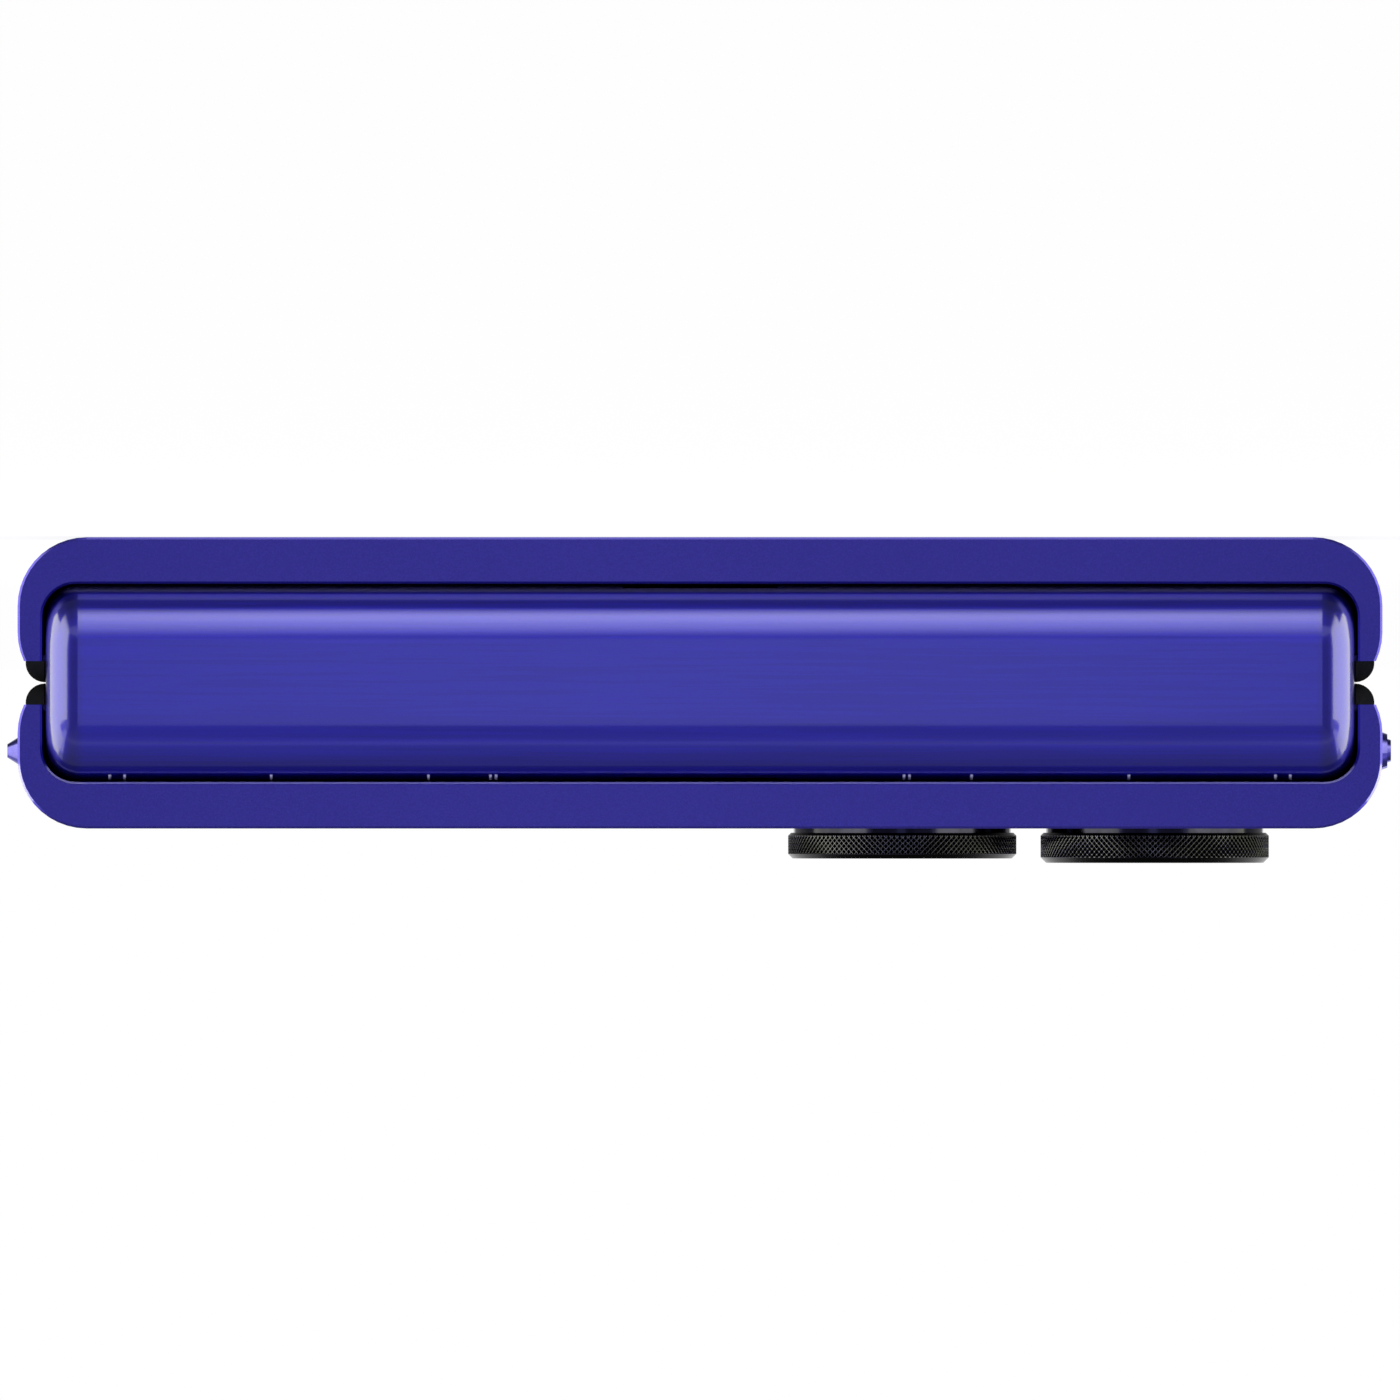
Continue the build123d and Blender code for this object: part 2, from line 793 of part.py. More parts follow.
# ---- Base half ----
with BuildPart() as base_frame:
    add(half_frame())
    with BuildSketch(usb_plane(far_y + overcut)):
        add(usb_outline(usb_gap))
    extrude(amount=far_wall + 2 * overcut, mode=Mode.SUBTRACT)
    for index in range(speaker_hole_count):
        hole_x = speaker_x + (index - (speaker_hole_count - 1) / 2) * speaker_hole_pitch
        add(end_hole(hole_x, speaker_hole_level, speaker_hole_radius), mode=Mode.SUBTRACT)
    add(end_hole(microphone_x, usb_level, microphone_hole_radius), mode=Mode.SUBTRACT)
    add(
        block(
            (cavity_half_width - overcut, body_width / 2 + overcut),
            (
                tray_y - tray_face_length / 2 - tray_gap,
                tray_y + tray_face_length / 2 + tray_gap,
            ),
            (
                tray_level - tray_face_height / 2 - tray_gap,
                tray_level + tray_face_height / 2 + tray_gap,
            ),
        ),
        mode=Mode.SUBTRACT,
    )

with BuildPart() as back_cover:
    add(slab(cover_plan(cover_gap), 0, cover_thickness))

with BuildPart() as base_antenna_bands:
    add(antenna_bands())

with BuildPart() as base_rim:
    add(half_rim())

with BuildPart() as base_support_plate:
    add(slab(half_outline(display_edge, axis_y + plate_start), deck_top, panel_bottom))

with BuildPart() as base_screen:
    add(slab(half_outline(display_edge, axis_y + panel_start), panel_bottom, panel_top))

with BuildPart() as base_battery:
    with BuildSketch(Plane.XY.offset(battery_lift)) as cell_plan:
        with Locations((0, battery_start)):
            Rectangle(battery_width, base_battery_length, align=(Align.CENTER, Align.MIN))
        fillet(cell_plan.vertices(), battery_corner)
    extrude(amount=battery_height)

with BuildPart() as charging_coil:
    with BuildSketch(Plane.XY.offset(cover_thickness)):
        with Locations((0, coil_y)):
            Circle(coil_outer_radius)
            Circle(coil_inner_radius, mode=Mode.SUBTRACT)
    extrude(amount=coil_thickness)

with BuildPart() as sub_board:
    with BuildSketch(Plane.XY.offset(board_level)):
        add(half_outline(board_inset, base_board_start))
        with Locations((0, far_y - usb_setback)):
            Rectangle(
                usb_width + 2 * usb_gap,
                usb_length + usb_gap,
                align=(Align.CENTER, Align.MAX),
                mode=Mode.SUBTRACT,
            )
    extrude(amount=board_thickness)

with BuildPart() as usb_socket:
    with BuildSketch(usb_plane(far_y - usb_setback)):
        add(usb_outline())
        add(usb_outline(-usb_wall), mode=Mode.SUBTRACT)
    extrude(amount=usb_length)
    with BuildSketch(usb_plane(far_y - usb_setback - usb_length)):
        add(usb_outline())
    extrude(amount=-usb_wall)
    with BuildSketch(usb_plane(far_y - usb_setback - usb_length)):
        Rectangle(tongue_width, tongue_height)
    extrude(amount=-(usb_wall + tongue_length))

with BuildPart() as loudspeaker:
    add(
        block(
            (speaker_x - speaker_width / 2, speaker_x + speaker_width / 2),
            (
                cavity_far_y - speaker_front - speaker_length,
                cavity_far_y - speaker_front,
            ),
            (speaker_lift, speaker_lift + speaker_height),
        )
    )
    corner_edges = loudspeaker.edges().filter_by(Axis.Z).sort_by(Axis.Y)[-2:]
    fillet(corner_edges.sort_by(Axis.X)[:1], corner_radius - side_wall)

haptic_start = base_board_start + haptic_setback
with BuildPart() as haptic_motor:
    add(
        block(
            (haptic_x - haptic_width / 2, haptic_x + haptic_width / 2),
            (haptic_start, haptic_start + haptic_length),
            (speaker_lift, speaker_lift + speaker_height),
        )
    )

with BuildPart() as microphone:
    add(
        block(
            (microphone_x - microphone_width / 2, microphone_x + microphone_width / 2),
            (cavity_far_y - speaker_front - microphone_length, cavity_far_y - speaker_front),
            (board_level - microphone_height, board_level),
        )
    )

with BuildPart() as sim_tray:
    face_x = body_width / 2
    add(
        block(
            (face_x - tray_face_depth, face_x),
            (tray_y - tray_face_length / 2, tray_y + tray_face_length / 2),
            (tray_level - tray_face_height / 2, tray_level + tray_face_height / 2),
        )
    )
    fillet(sim_tray.edges().filter_by(Axis.X), tray_face_round)
    add(
        block(
            (face_x - tray_reach, face_x - tray_face_depth),
            (tray_y - tray_width / 2, tray_y + tray_width / 2),
            (tray_level - tray_thickness / 2, tray_level + tray_thickness / 2),
        )
    )
    with BuildSketch(Plane.XY.offset(tray_level - tray_face_height)):
        with Locations((face_x - tray_reach + card_length / 2 + card_margin, tray_y)):
            Rectangle(card_length, card_width)
    extrude(amount=2 * tray_face_height, mode=Mode.SUBTRACT)
    with BuildSketch(side_plane(face_x - tray_face_depth, (tray_y, tray_level))):
        with Locations((eject_hole_offset, 0)):
            Circle(eject_hole_radius)
    extrude(amount=tray_face_depth, mode=Mode.SUBTRACT)

with BuildPart() as sim_reader:
    slot_half_width = tray_width / 2 + reader_play
    slot_half_height = tray_thickness / 2 + reader_play
    add(
        block(
            (reader_inner_x - reader_wall, cavity_half_width - reader_wall),
            (tray_y - slot_half_width - reader_wall, tray_y + slot_half_width + reader_wall),
            (tray_level - slot_half_height - reader_wall, board_level),
        )
    )
    add(
        block(
            (reader_inner_x, cavity_half_width),
            (tray_y - slot_half_width, tray_y + slot_half_width),
            (tray_level - slot_half_height, tray_level + slot_half_height),
        ),
        mode=Mode.SUBTRACT,
    )

base_first_tooth = 180 - mesh_angle - tooth_pitch / 4
with BuildPart() as base_hinge_arms:
    add(hinge_arms(base_first_tooth))

with BuildPart() as base_arm_screws:
    add(arm_screws())

# ---- Spine ----
with BuildPart() as hinge_cover:
    add(spine_bar(spine_radius, spine_half_length, spine_corner))
    add(
        spine_bar(
            spine_radius - spine_wall,
            spine_half_length - spine_wall,
            spine_corner - spine_wall,
        ),
        mode=Mode.SUBTRACT,
    )
    lips = Plane((0, axis_y - spine_lip_drop, 0), z_dir=(0, 1, 0))
    split(bisect_by=lips, keep=Keep.BOTTOM)
    # the flexible circuit lies across both lips when the phone is open
    notch_depth = base_axis_z - flex_level + flex_notch_gap
    add(
        block(
            (-flex_width / 2 - flex_slot_gap, flex_width / 2 + flex_slot_gap),
            (axis_y - notch_depth, axis_y),
            (base_axis_z - spine_radius, base_axis_z + 2 * axis_drop + spine_radius),
        ),
        mode=Mode.SUBTRACT,
    )
    for side in (-1, 1):
        with BuildSketch(Plane((side * arm_x, cover_inner_y, fold_z), z_dir=(0, 1, 0))):
            Circle(core_screw_shank_radius)
        extrude(amount=-core_thread_depth, mode=Mode.SUBTRACT)

with BuildPart() as hinge_cores:
    post_half_height = axis_drop + post_reach
    add(
        block(
            (module_start, module_end),
            (cover_inner_y, axis_y + barrel_radius),
            (fold_z - post_half_height, fold_z + post_half_height),
        )
    )
    add(
        spine_bar(
            spine_radius - spine_wall,
            spine_half_length - spine_wall,
            spine_corner - spine_wall,
        ),
        mode=Mode.INTERSECT,
    )
    # the bar ends at the fold axes, so the posts' heads are put back beyond them, with a
    # saddle left between the shafts for the folded screen
    for side in (-1, 1):
        shaft_z = fold_z + side * axis_drop
        head_z = fold_z + side * post_half_height
        add(
            block(
                (module_start, module_end),
                (axis_y, axis_y + barrel_radius),
                (min(shaft_z, head_z), max(shaft_z, head_z)),
            )
        )
        add(rod((axis_y, shaft_z), barrel_radius, (module_start, module_end)))
    # room for the arms above a floor
    add(
        block(
            (arm_start - running_gap, outer_post_start),
            (core_floor_y, axis_y + barrel_radius),
            (fold_z - 2 * post_half_height, fold_z + 2 * post_half_height),
        ),
        mode=Mode.SUBTRACT,
    )
    # room for the gears between two rails
    rail_start = axis_drop + gear_pitch_radius + gear_addendum + running_gap
    add(
        block(
            (gear_start - running_gap, inner_post_start),
            (cover_inner_y, axis_y + barrel_radius),
            (fold_z - rail_start, fold_z + rail_start),
        ),
        mode=Mode.SUBTRACT,
    )
    low_post_y = axis_y - barrel_radius - barrel_gap
    add(
        block(
            (gear_start - running_gap, arm_start),
            (low_post_y, axis_y + barrel_radius),
            (fold_z - 2 * post_half_height, fold_z + 2 * post_half_height),
        ),
        mode=Mode.SUBTRACT,
    )
    # room for the friction washers
    add(
        block(
            (washers_start, end_post_start),
            (low_post_y, axis_y + barrel_radius),
            (fold_z - 2 * post_half_height, fold_z + 2 * post_half_height),
        ),
        mode=Mode.SUBTRACT,
    )
    for z_shift in (-axis_drop, axis_drop):
        shaft_bore = rod((axis_y, fold_z + z_shift), shaft_radius, (module_start, module_end))
        add(shaft_bore, mode=Mode.SUBTRACT)
    for z_shift in (-gear_pitch_radius, gear_pitch_radius):
        pin_bore = rod((idler_y, fold_z + z_shift), idler_pin_radius, (module_start, arm_start))
        add(pin_bore, mode=Mode.SUBTRACT)
    with BuildSketch(Plane((arm_x, cover_inner_y, fold_z), z_dir=(0, 1, 0))):
        Circle(core_screw_shank_radius)
    extrude(amount=core_floor, mode=Mode.SUBTRACT)
    mirror(about=Plane.YZ)

with BuildPart() as core_screws:
    for side in (-1, 1):
        with BuildSketch(Plane((side * arm_x, core_floor_y, fold_z), z_dir=(0, 1, 0))):
            Circle(core_screw_head_radius)
        extrude(amount=core_screw_head_height)
        with BuildSketch(Plane((side * arm_x, core_floor_y, fold_z), z_dir=(0, 1, 0))):
            Circle(core_screw_shank_radius)
        extrude(amount=-(core_floor + core_thread_depth))

with BuildPart() as hinge_shafts:
    for z_shift in (-axis_drop, axis_drop):
        add(rod((axis_y, fold_z + z_shift), shaft_radius, (module_start, module_end)))
    mirror(about=Plane.YZ)

with BuildPart() as idler_pins:
    for z_shift in (-gear_pitch_radius, gear_pitch_radius):
        pin_end = inner_post_start + inner_post_width
        add(rod((idler_y, fold_z + z_shift), idler_pin_radius, (module_start, pin_end)))
    mirror(about=Plane.YZ)

with BuildPart() as base_idler_gears:
    add(idler_gears((idler_y, base_idler_z), 0.75 * tooth_pitch - mesh_angle))

with BuildPart() as front_idler_gears:
    front_idler_z = fold_z + gear_pitch_radius
    add(idler_gears((idler_y, front_idler_z), mesh_angle - 0.25 * tooth_pitch))

with BuildPart() as friction_washers:
    washer_pitch = friction_length / washer_count
    for z_shift in (-axis_drop, axis_drop):
        for index in range(washer_count):
            washer_x = washers_start + (index + 0.5) * washer_pitch - washer_thickness / 2
            with BuildSketch(side_plane(washer_x, (axis_y, fold_z + z_shift))):
                Circle(barrel_radius)
                Circle(shaft_radius, mode=Mode.SUBTRACT)
            extrude(amount=washer_thickness)
    mirror(about=Plane.YZ)

with BuildPart() as fold_end_caps:
    cap_start = spine_half_length - end_cap_width
    for z_shift in (-axis_drop, axis_drop):
        center = (axis_y, fold_z + z_shift)
        add(rod(center, end_cap_radius, (cap_start, spine_half_length)))
    add(
        block(
            (cap_start, spine_half_length),
            (axis_y - end_cap_radius, axis_y + end_cap_radius),
            (fold_z - axis_drop, fold_z + axis_drop),
        )
    )
    split(bisect_by=lips, keep=Keep.TOP)
    mirror(about=Plane.YZ)

with BuildPart() as fold_screen:
    strip_inner_y = axis_y + fold_strip_depth
    legs_y = axis_y + panel_start
    with BuildSketch(side_plane(-(body_width / 2 - display_edge), (0, 0))) as strip_section:
        with Locations(((strip_inner_y + legs_y) / 2, fold_z)):
            Rectangle(legs_y - strip_inner_y, 2 * (display_recess + panel_thickness))
        outer_corners = strip_section.vertices().group_by(Axis.X)[0]
        fillet(outer_corners, display_recess)
        with Locations(((strip_inner_y + panel_thickness + legs_y) / 2, fold_z)):
            Rectangle(
                legs_y - strip_inner_y - panel_thickness,
                2 * display_recess,
                mode=Mode.SUBTRACT,
            )
    extrude(amount=body_width - 2 * display_edge)

with BuildPart() as hinge_flex:
    flex_drop = fold_z - flex_level - flex_thickness / 2
    tail_y = pocket_end_y + pocket_wall + flex_tail
    with BuildLine(side_plane(0, (0, 0))) as flex_path:
        lower_tail = Line((tail_y, fold_z - flex_drop), (axis_y, fold_z - flex_drop))
        bend = CenterArc((axis_y, fold_z), flex_drop, -90, -180)
        upper_tail = Line((axis_y, fold_z + flex_drop), (tail_y, fold_z + flex_drop))
    tail_end = Plane(origin=(0, tail_y, fold_z - flex_drop), x_dir=(1, 0, 0), z_dir=(0, -1, 0))
    with BuildSketch(tail_end):
        Rectangle(flex_width, flex_thickness)
    sweep(path=flex_path.wires()[0])

# ---- Front half ----
key_slots = (
    key_slot(power_key_y, power_key_length, power_key_height, -1),
    key_slot(volume_key_y, volume_key_length, volume_key_height, -1),
    key_slot(side_key_y, side_key_length, side_key_height, 1),
)

with BuildPart() as front_frame:
    add(on_front(half_frame()))
    for opening in key_slots:
        add(opening, mode=Mode.SUBTRACT)
    selfie_hole = disc((0, selfie_y), selfie_body_radius + usb_gap, deck_bottom, deck_top)
    add(on_front(selfie_hole), mode=Mode.SUBTRACT)
    ear_channel = block(
        (-ear_slot_width / 2, ear_slot_width / 2),
        (ear_slot_y - ear_slot_height / 2, ear_slot_y + ear_slot_height / 2),
        (ear_mouth_start, frame_height),
    )
    add(on_front(ear_channel), mode=Mode.SUBTRACT)
    ear_mouth = block(
        (-ear_slot_width / 2, ear_slot_width / 2),
        (cavity_far_y - overcut, ear_slot_y + ear_slot_height / 2),
        (ear_mouth_start, ear_mouth_start + ear_mouth_height),
    )
    add(on_front(ear_mouth), mode=Mode.SUBTRACT)

with BuildPart() as cover_glass:
    add(on_front(slab(cover_plan(cover_gap), 0, cover_thickness)))
    for camera_x in (main_camera_x, wide_camera_x):
        ring_hole = disc(
            (camera_x, camera_y), ring_tube_radius + ring_hole_gap, 0, cover_thickness
        )
        add(on_front(ring_hole), mode=Mode.SUBTRACT)
    flash_hole = disc((flash_x, camera_y), flash_radius + ring_hole_gap, 0, cover_thickness)
    add(on_front(flash_hole), mode=Mode.SUBTRACT)

with BuildPart() as cover_screen:
    screen_plan = half_outline(
        cover_inset + window_inset + cover_gap,
        pocket_end_y + pocket_wall + cover_gap,
        window_inset,
    )
    add(on_front(slab(screen_plan, cover_thickness, cover_thickness + panel_thickness)))
    for camera_x in (main_camera_x, wide_camera_x):
        camera_hole = disc(
            (camera_x, camera_y), ring_flange_radius + ring_hole_gap, cover_thickness, ledge_top
        )
        add(on_front(camera_hole), mode=Mode.SUBTRACT)
    flash_opening = disc(
        (flash_x, camera_y), flash_radius + flash_screen_margin, cover_thickness, ledge_top
    )
    add(on_front(flash_opening), mode=Mode.SUBTRACT)

with BuildPart() as front_antenna_bands:
    add(on_front(antenna_bands()))

with BuildPart() as front_rim:
    add(on_front(half_rim()))
    ear_slot = block(
        (-ear_slot_width / 2, ear_slot_width / 2),
        (ear_slot_y - ear_slot_height / 2, ear_slot_y + ear_slot_height / 2),
        (frame_height, rim_top),
    )
    add(on_front(ear_slot), mode=Mode.SUBTRACT)

with BuildPart() as front_support_plate:
    add(
        on_front(slab(half_outline(display_edge, axis_y + plate_start), deck_top, panel_bottom))
    )
    plate_hole = disc((0, selfie_y), selfie_hole_radius, deck_top, panel_bottom)
    add(on_front(plate_hole), mode=Mode.SUBTRACT)

with BuildPart() as front_screen:
    add(
        on_front(slab(half_outline(display_edge, axis_y + panel_start), panel_bottom, panel_top))
    )
    panel_hole = disc((0, selfie_y), selfie_hole_radius, panel_bottom, panel_top)
    add(on_front(panel_hole), mode=Mode.SUBTRACT)

with BuildPart() as front_battery:
    with BuildSketch(Plane.XY.offset(battery_lift)) as front_cell_plan:
        with Locations((0, battery_start)):
            Rectangle(battery_width, front_battery_length, align=(Align.CENTER, Align.MIN))
        fillet(front_cell_plan.vertices(), battery_corner)
    extrude(amount=battery_height)
    mirror(about=fold_plane, mode=Mode.REPLACE)

camera_notch = camera_size + 2 * board_notch_gap
with BuildPart() as main_board:
    with BuildSketch(Plane.XY.offset(board_level)):
        add(half_outline(board_inset, front_board_start))
        with Locations((main_camera_x, camera_y), (wide_camera_x, camera_y)):
            Rectangle(camera_notch, camera_notch, mode=Mode.SUBTRACT)
        with Locations((0, selfie_y)):
            Circle(selfie_body_radius + board_notch_gap, mode=Mode.SUBTRACT)
        with Locations((0, cavity_far_y)):
            Rectangle(
                earpiece_width + 2 * board_notch_gap,
                earpiece_length + board_notch_gap,
                align=(Align.CENTER, Align.MAX),
                mode=Mode.SUBTRACT,
            )
    extrude(amount=board_thickness)
    mirror(about=fold_plane, mode=Mode.REPLACE)

with BuildPart() as shield_can:
    shield_x_range = (shield_x - shield_width / 2, shield_x + shield_width / 2)
    shield_y_range = (shield_y - shield_length / 2, shield_y + shield_length / 2)
    add(block(shield_x_range, shield_y_range, (board_level - shield_height, board_level)))
    offset(amount=-shield_wall, openings=shield_can.faces().sort_by(Axis.Z)[-1])
    mirror(about=fold_plane, mode=Mode.REPLACE)

with BuildPart() as main_camera_ring:
    add(on_front(camera_ring(main_camera_x, main_ring_height, main_ring_chamfer)))

with BuildPart() as wide_camera_ring:
    add(on_front(camera_ring(wide_camera_x, wide_ring_height, wide_ring_chamfer)))

with BuildPart() as camera_windows:
    for camera_x, stand in (
        (main_camera_x, main_ring_height),
        (wide_camera_x, wide_ring_height),
    ):
        window_top = window_sink - stand
        add(
            disc(
                (camera_x, camera_y),
                ring_bore_radius + window_seat,
                window_top,
                window_top + window_thickness,
            )
        )
    mirror(about=fold_plane, mode=Mode.REPLACE)

camera_back = ledge_top + window_seat + camera_height
main_barrel_top = window_sink + window_thickness - main_ring_height + focus_travel + barrel_play
wide_barrel_top = window_sink + window_thickness - wide_ring_height + barrel_play
camera_front = camera_back - camera_height

with BuildPart() as main_camera:
    with BuildSketch(Plane.XY.offset(camera_front)):
        with Locations((main_camera_x, camera_y)):
            Rectangle(camera_size, camera_size)
            Circle(lens_barrel_radius + barrel_play, mode=Mode.SUBTRACT)
    extrude(amount=camera_height - window_thickness)
    with BuildSketch(Plane.XY.offset(camera_back - window_thickness)):
        with Locations((main_camera_x, camera_y)):
            Rectangle(camera_size, camera_size)
    extrude(amount=window_thickness)
    mirror(about=fold_plane, mode=Mode.REPLACE)

with BuildPart() as main_lens_barrel:
    barrel_bottom = camera_back - window_thickness - barrel_play
    barrel = disc((main_camera_x, camera_y), lens_barrel_radius, main_barrel_top, barrel_bottom)
    add(on_front(barrel))

with BuildPart() as wide_camera:
    with BuildSketch(Plane.XY.offset(camera_front)):
        with Locations((wide_camera_x, camera_y)):
            Rectangle(camera_size, camera_size)
    extrude(amount=camera_height)
    add(disc((wide_camera_x, camera_y), lens_barrel_radius, wide_barrel_top, camera_front))
    mirror(about=fold_plane, mode=Mode.REPLACE)

with BuildPart() as flash_lens:
    add(on_front(disc((flash_x, camera_y), flash_radius, 0, flash_height)))

with BuildPart() as selfie_camera:
    selfie_top = deck_top - ring_hole_gap
    add(disc((0, selfie_y), selfie_body_radius, selfie_top - selfie_body_height, selfie_top))
    add(disc((0, selfie_y), selfie_nose_radius, selfie_top, panel_top - ring_hole_gap))
    mirror(about=fold_plane, mode=Mode.REPLACE)

with BuildPart() as earpiece:
    speaker_block = block(
        (-earpiece_width / 2, earpiece_width / 2),
        (cavity_far_y - earpiece_length, cavity_far_y - ring_hole_gap),
        (earpiece_level - earpiece_height / 2, earpiece_level + earpiece_height / 2),
    )
    add(on_front(speaker_block))

with BuildPart() as front_hinge_arms:
    front_first_tooth = 180 - mesh_angle + tooth_pitch / 4
    add(on_front(hinge_arms(front_first_tooth)))

with BuildPart() as front_arm_screws:
    add(on_front(arm_screws()))

with BuildPart() as power_key:
    add(
        key(
            power_key_y,
            power_key_length,
            power_key_height,
            power_key_stand,
            power_key_taper,
            -1,
            flange_gap,
        )
    )

with BuildPart() as volume_key:
    add(
        key(
            volume_key_y,
            volume_key_length,
            volume_key_height,
            volume_key_stand,
            volume_key_taper,
            -1,
            volume_key_flange_gap,
        )
    )

with BuildPart() as side_key:
    add(
        key(
            side_key_y,
            side_key_length,
            side_key_height,
            side_key_stand,
            side_key_taper,
            1,
            flange_gap,
        )
    )

switch_places = (
    (-1, power_key_y, flange_gap + key_travel),
    (-1, volume_key_y - volume_switch_spacing / 2, volume_key_flange_gap + volume_key_press),
    (-1, volume_key_y + volume_switch_spacing / 2, volume_key_flange_gap + volume_key_press),
    (1, side_key_y, flange_gap + key_travel),
)
deepest_press = max(press for _, _, press in switch_places)
switch_back = cavity_half_width - key_flange - deepest_press - switch_gap - switch_depth
switch_z = body_thickness - key_level

with BuildPart() as key_switches:
    for side, switch_y, press in switch_places:
        switch_front = cavity_half_width - key_flange - press - switch_gap
        add(
            block(
                tuple(sorted((side * switch_back, side * switch_front))),
                (switch_y - switch_size / 2, switch_y + switch_size / 2),
                (switch_z - switch_size / 2, switch_z + switch_size / 2),
            )
        )

with BuildPart() as key_brackets:
    for side, start, end in (
        (-1, power_key_y - power_key_length / 2, volume_key_y + volume_key_length / 2),
        (1, side_key_y - side_key_length / 2, side_key_y + side_key_length / 2),
    ):
        add(
            block(
                tuple(sorted((side * (switch_back - bracket_thickness), side * switch_back))),
                (start, end),
                (body_thickness - deck_bottom, switch_z + switch_size / 2),
            )
        )

# ---- Write the pieces ----
pieces = {
    "base_frame": base_frame,
    "back_cover": back_cover,
    "base_antenna_bands": base_antenna_bands,
    "base_rim": base_rim,
    "base_support_plate": base_support_plate,
    "base_screen": base_screen,
    "base_battery": base_battery,
    "charging_coil": charging_coil,
    "sub_board": sub_board,
    "usb_socket": usb_socket,
    "loudspeaker": loudspeaker,
    "haptic_motor": haptic_motor,
    "microphone": microphone,
    "sim_tray": sim_tray,
    "sim_reader": sim_reader,
    "base_hinge_arms": base_hinge_arms,
    "base_arm_screws": base_arm_screws,
    "hinge_cover": hinge_cover,
    "hinge_cores": hinge_cores,
    "core_screws": core_screws,
    "hinge_shafts": hinge_shafts,
    "idler_pins": idler_pins,
    "base_idler_gears": base_idler_gears,
    "front_idler_gears": front_idler_gears,
    "friction_washers": friction_washers,
    "fold_end_caps": fold_end_caps,
    "fold_screen": fold_screen,
    "hinge_flex": hinge_flex,
    "front_frame": front_frame,
    "cover_glass": cover_glass,
    "cover_screen": cover_screen,
    "front_antenna_bands": front_antenna_bands,
    "front_rim": front_rim,
    "front_support_plate": front_support_plate,
    "front_screen": front_screen,
    "front_battery": front_battery,
    "main_board": main_board,
    "shield_can": shield_can,
    "main_camera_ring": main_camera_ring,
    "wide_camera_ring": wide_camera_ring,
    "camera_windows": camera_windows,
    "main_camera": main_camera,
    "main_lens_barrel": main_lens_barrel,
    "wide_camera": wide_camera,
    "flash_lens": flash_lens,
    "selfie_camera": selfie_camera,
    "earpiece": earpiece,
    "front_hinge_arms": front_hinge_arms,
    "front_arm_screws": front_arm_screws,
    "power_key": power_key,
    "volume_key": volume_key,
    "side_key": side_key,
    "key_switches": key_switches,
    "key_brackets": key_brackets,
}

os.makedirs("parts", exist_ok=True)
for name, piece in pieces.items():
    piece.part.label = name
    export_step(piece.part, f"parts/{name}.step")
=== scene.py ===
import logging
import math
from dataclasses import dataclass, field
from enum import Enum
from typing import Any, Sequence

import bmesh
import bpy
import numpy as np
from mathutils import Matrix, Vector


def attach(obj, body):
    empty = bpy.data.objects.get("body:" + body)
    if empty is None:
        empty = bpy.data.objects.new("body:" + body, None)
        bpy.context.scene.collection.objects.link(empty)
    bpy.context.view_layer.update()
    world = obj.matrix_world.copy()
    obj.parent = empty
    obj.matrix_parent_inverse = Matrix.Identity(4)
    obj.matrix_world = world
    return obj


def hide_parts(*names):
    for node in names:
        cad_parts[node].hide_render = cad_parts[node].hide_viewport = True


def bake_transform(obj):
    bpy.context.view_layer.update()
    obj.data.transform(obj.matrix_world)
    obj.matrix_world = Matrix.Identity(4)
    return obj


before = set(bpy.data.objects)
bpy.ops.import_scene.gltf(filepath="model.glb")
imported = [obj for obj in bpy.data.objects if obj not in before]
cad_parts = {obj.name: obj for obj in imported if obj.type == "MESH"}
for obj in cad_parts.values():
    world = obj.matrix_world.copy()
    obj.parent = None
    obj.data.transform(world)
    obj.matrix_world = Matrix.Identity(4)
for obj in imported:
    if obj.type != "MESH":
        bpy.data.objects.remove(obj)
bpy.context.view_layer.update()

# The shut flip phone, dressed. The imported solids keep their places, and this script adds the
# shapes that are finer than they are, the finishes, the studio and the camera. Sizes are in
# millimetres until a mesh is made.

MM = 0.001
MERGE_DISTANCE = 2e-7
HALVINGS = 40
LOG = logging.getLogger("flip_phone")

Colour = tuple[float, float, float]

# Places shared with the solids
FOLD_Z = 7.9
THICKNESS = 15.8
FAR_Y = 44.05
AXIS_Y = -40.25
AXIS_DROP = 1.5
BASE_AXIS_Z = FOLD_Z - AXIS_DROP


# ---------------------------------------------------------------- meshes
class Turn(Enum):
    """The direction of the axis that a profile is turned about."""

    UP = "Z"
    ALONG = "Y"


@dataclass
class Patch:
    """A grid of points that becomes one sheet of quads.

    Attributes:
        points: Array of rows by columns by three, in millimetres.
        wrap: Whether the last column joins the first.
    """

    points: np.ndarray
    wrap: bool = False

    def faces(self, start: int) -> np.ndarray:
        """float the quads between neighbouring rows and columns.

        Args:
            start: float of the patch's first point in the whole mesh.

        Returns:
            Array of quads by four point numbers.
        """
        rows, columns = self.points.shape[:2]
        index = np.arange(rows * columns).reshape(rows, columns) + start
        if self.wrap:
            index = np.concatenate([index, index[:, :1]], axis=1)
        corners = (index[:-1, :-1], index[:-1, 1:], index[1:, 1:], index[1:, :-1])
        return np.stack([corner.ravel() for corner in corners], axis=1)


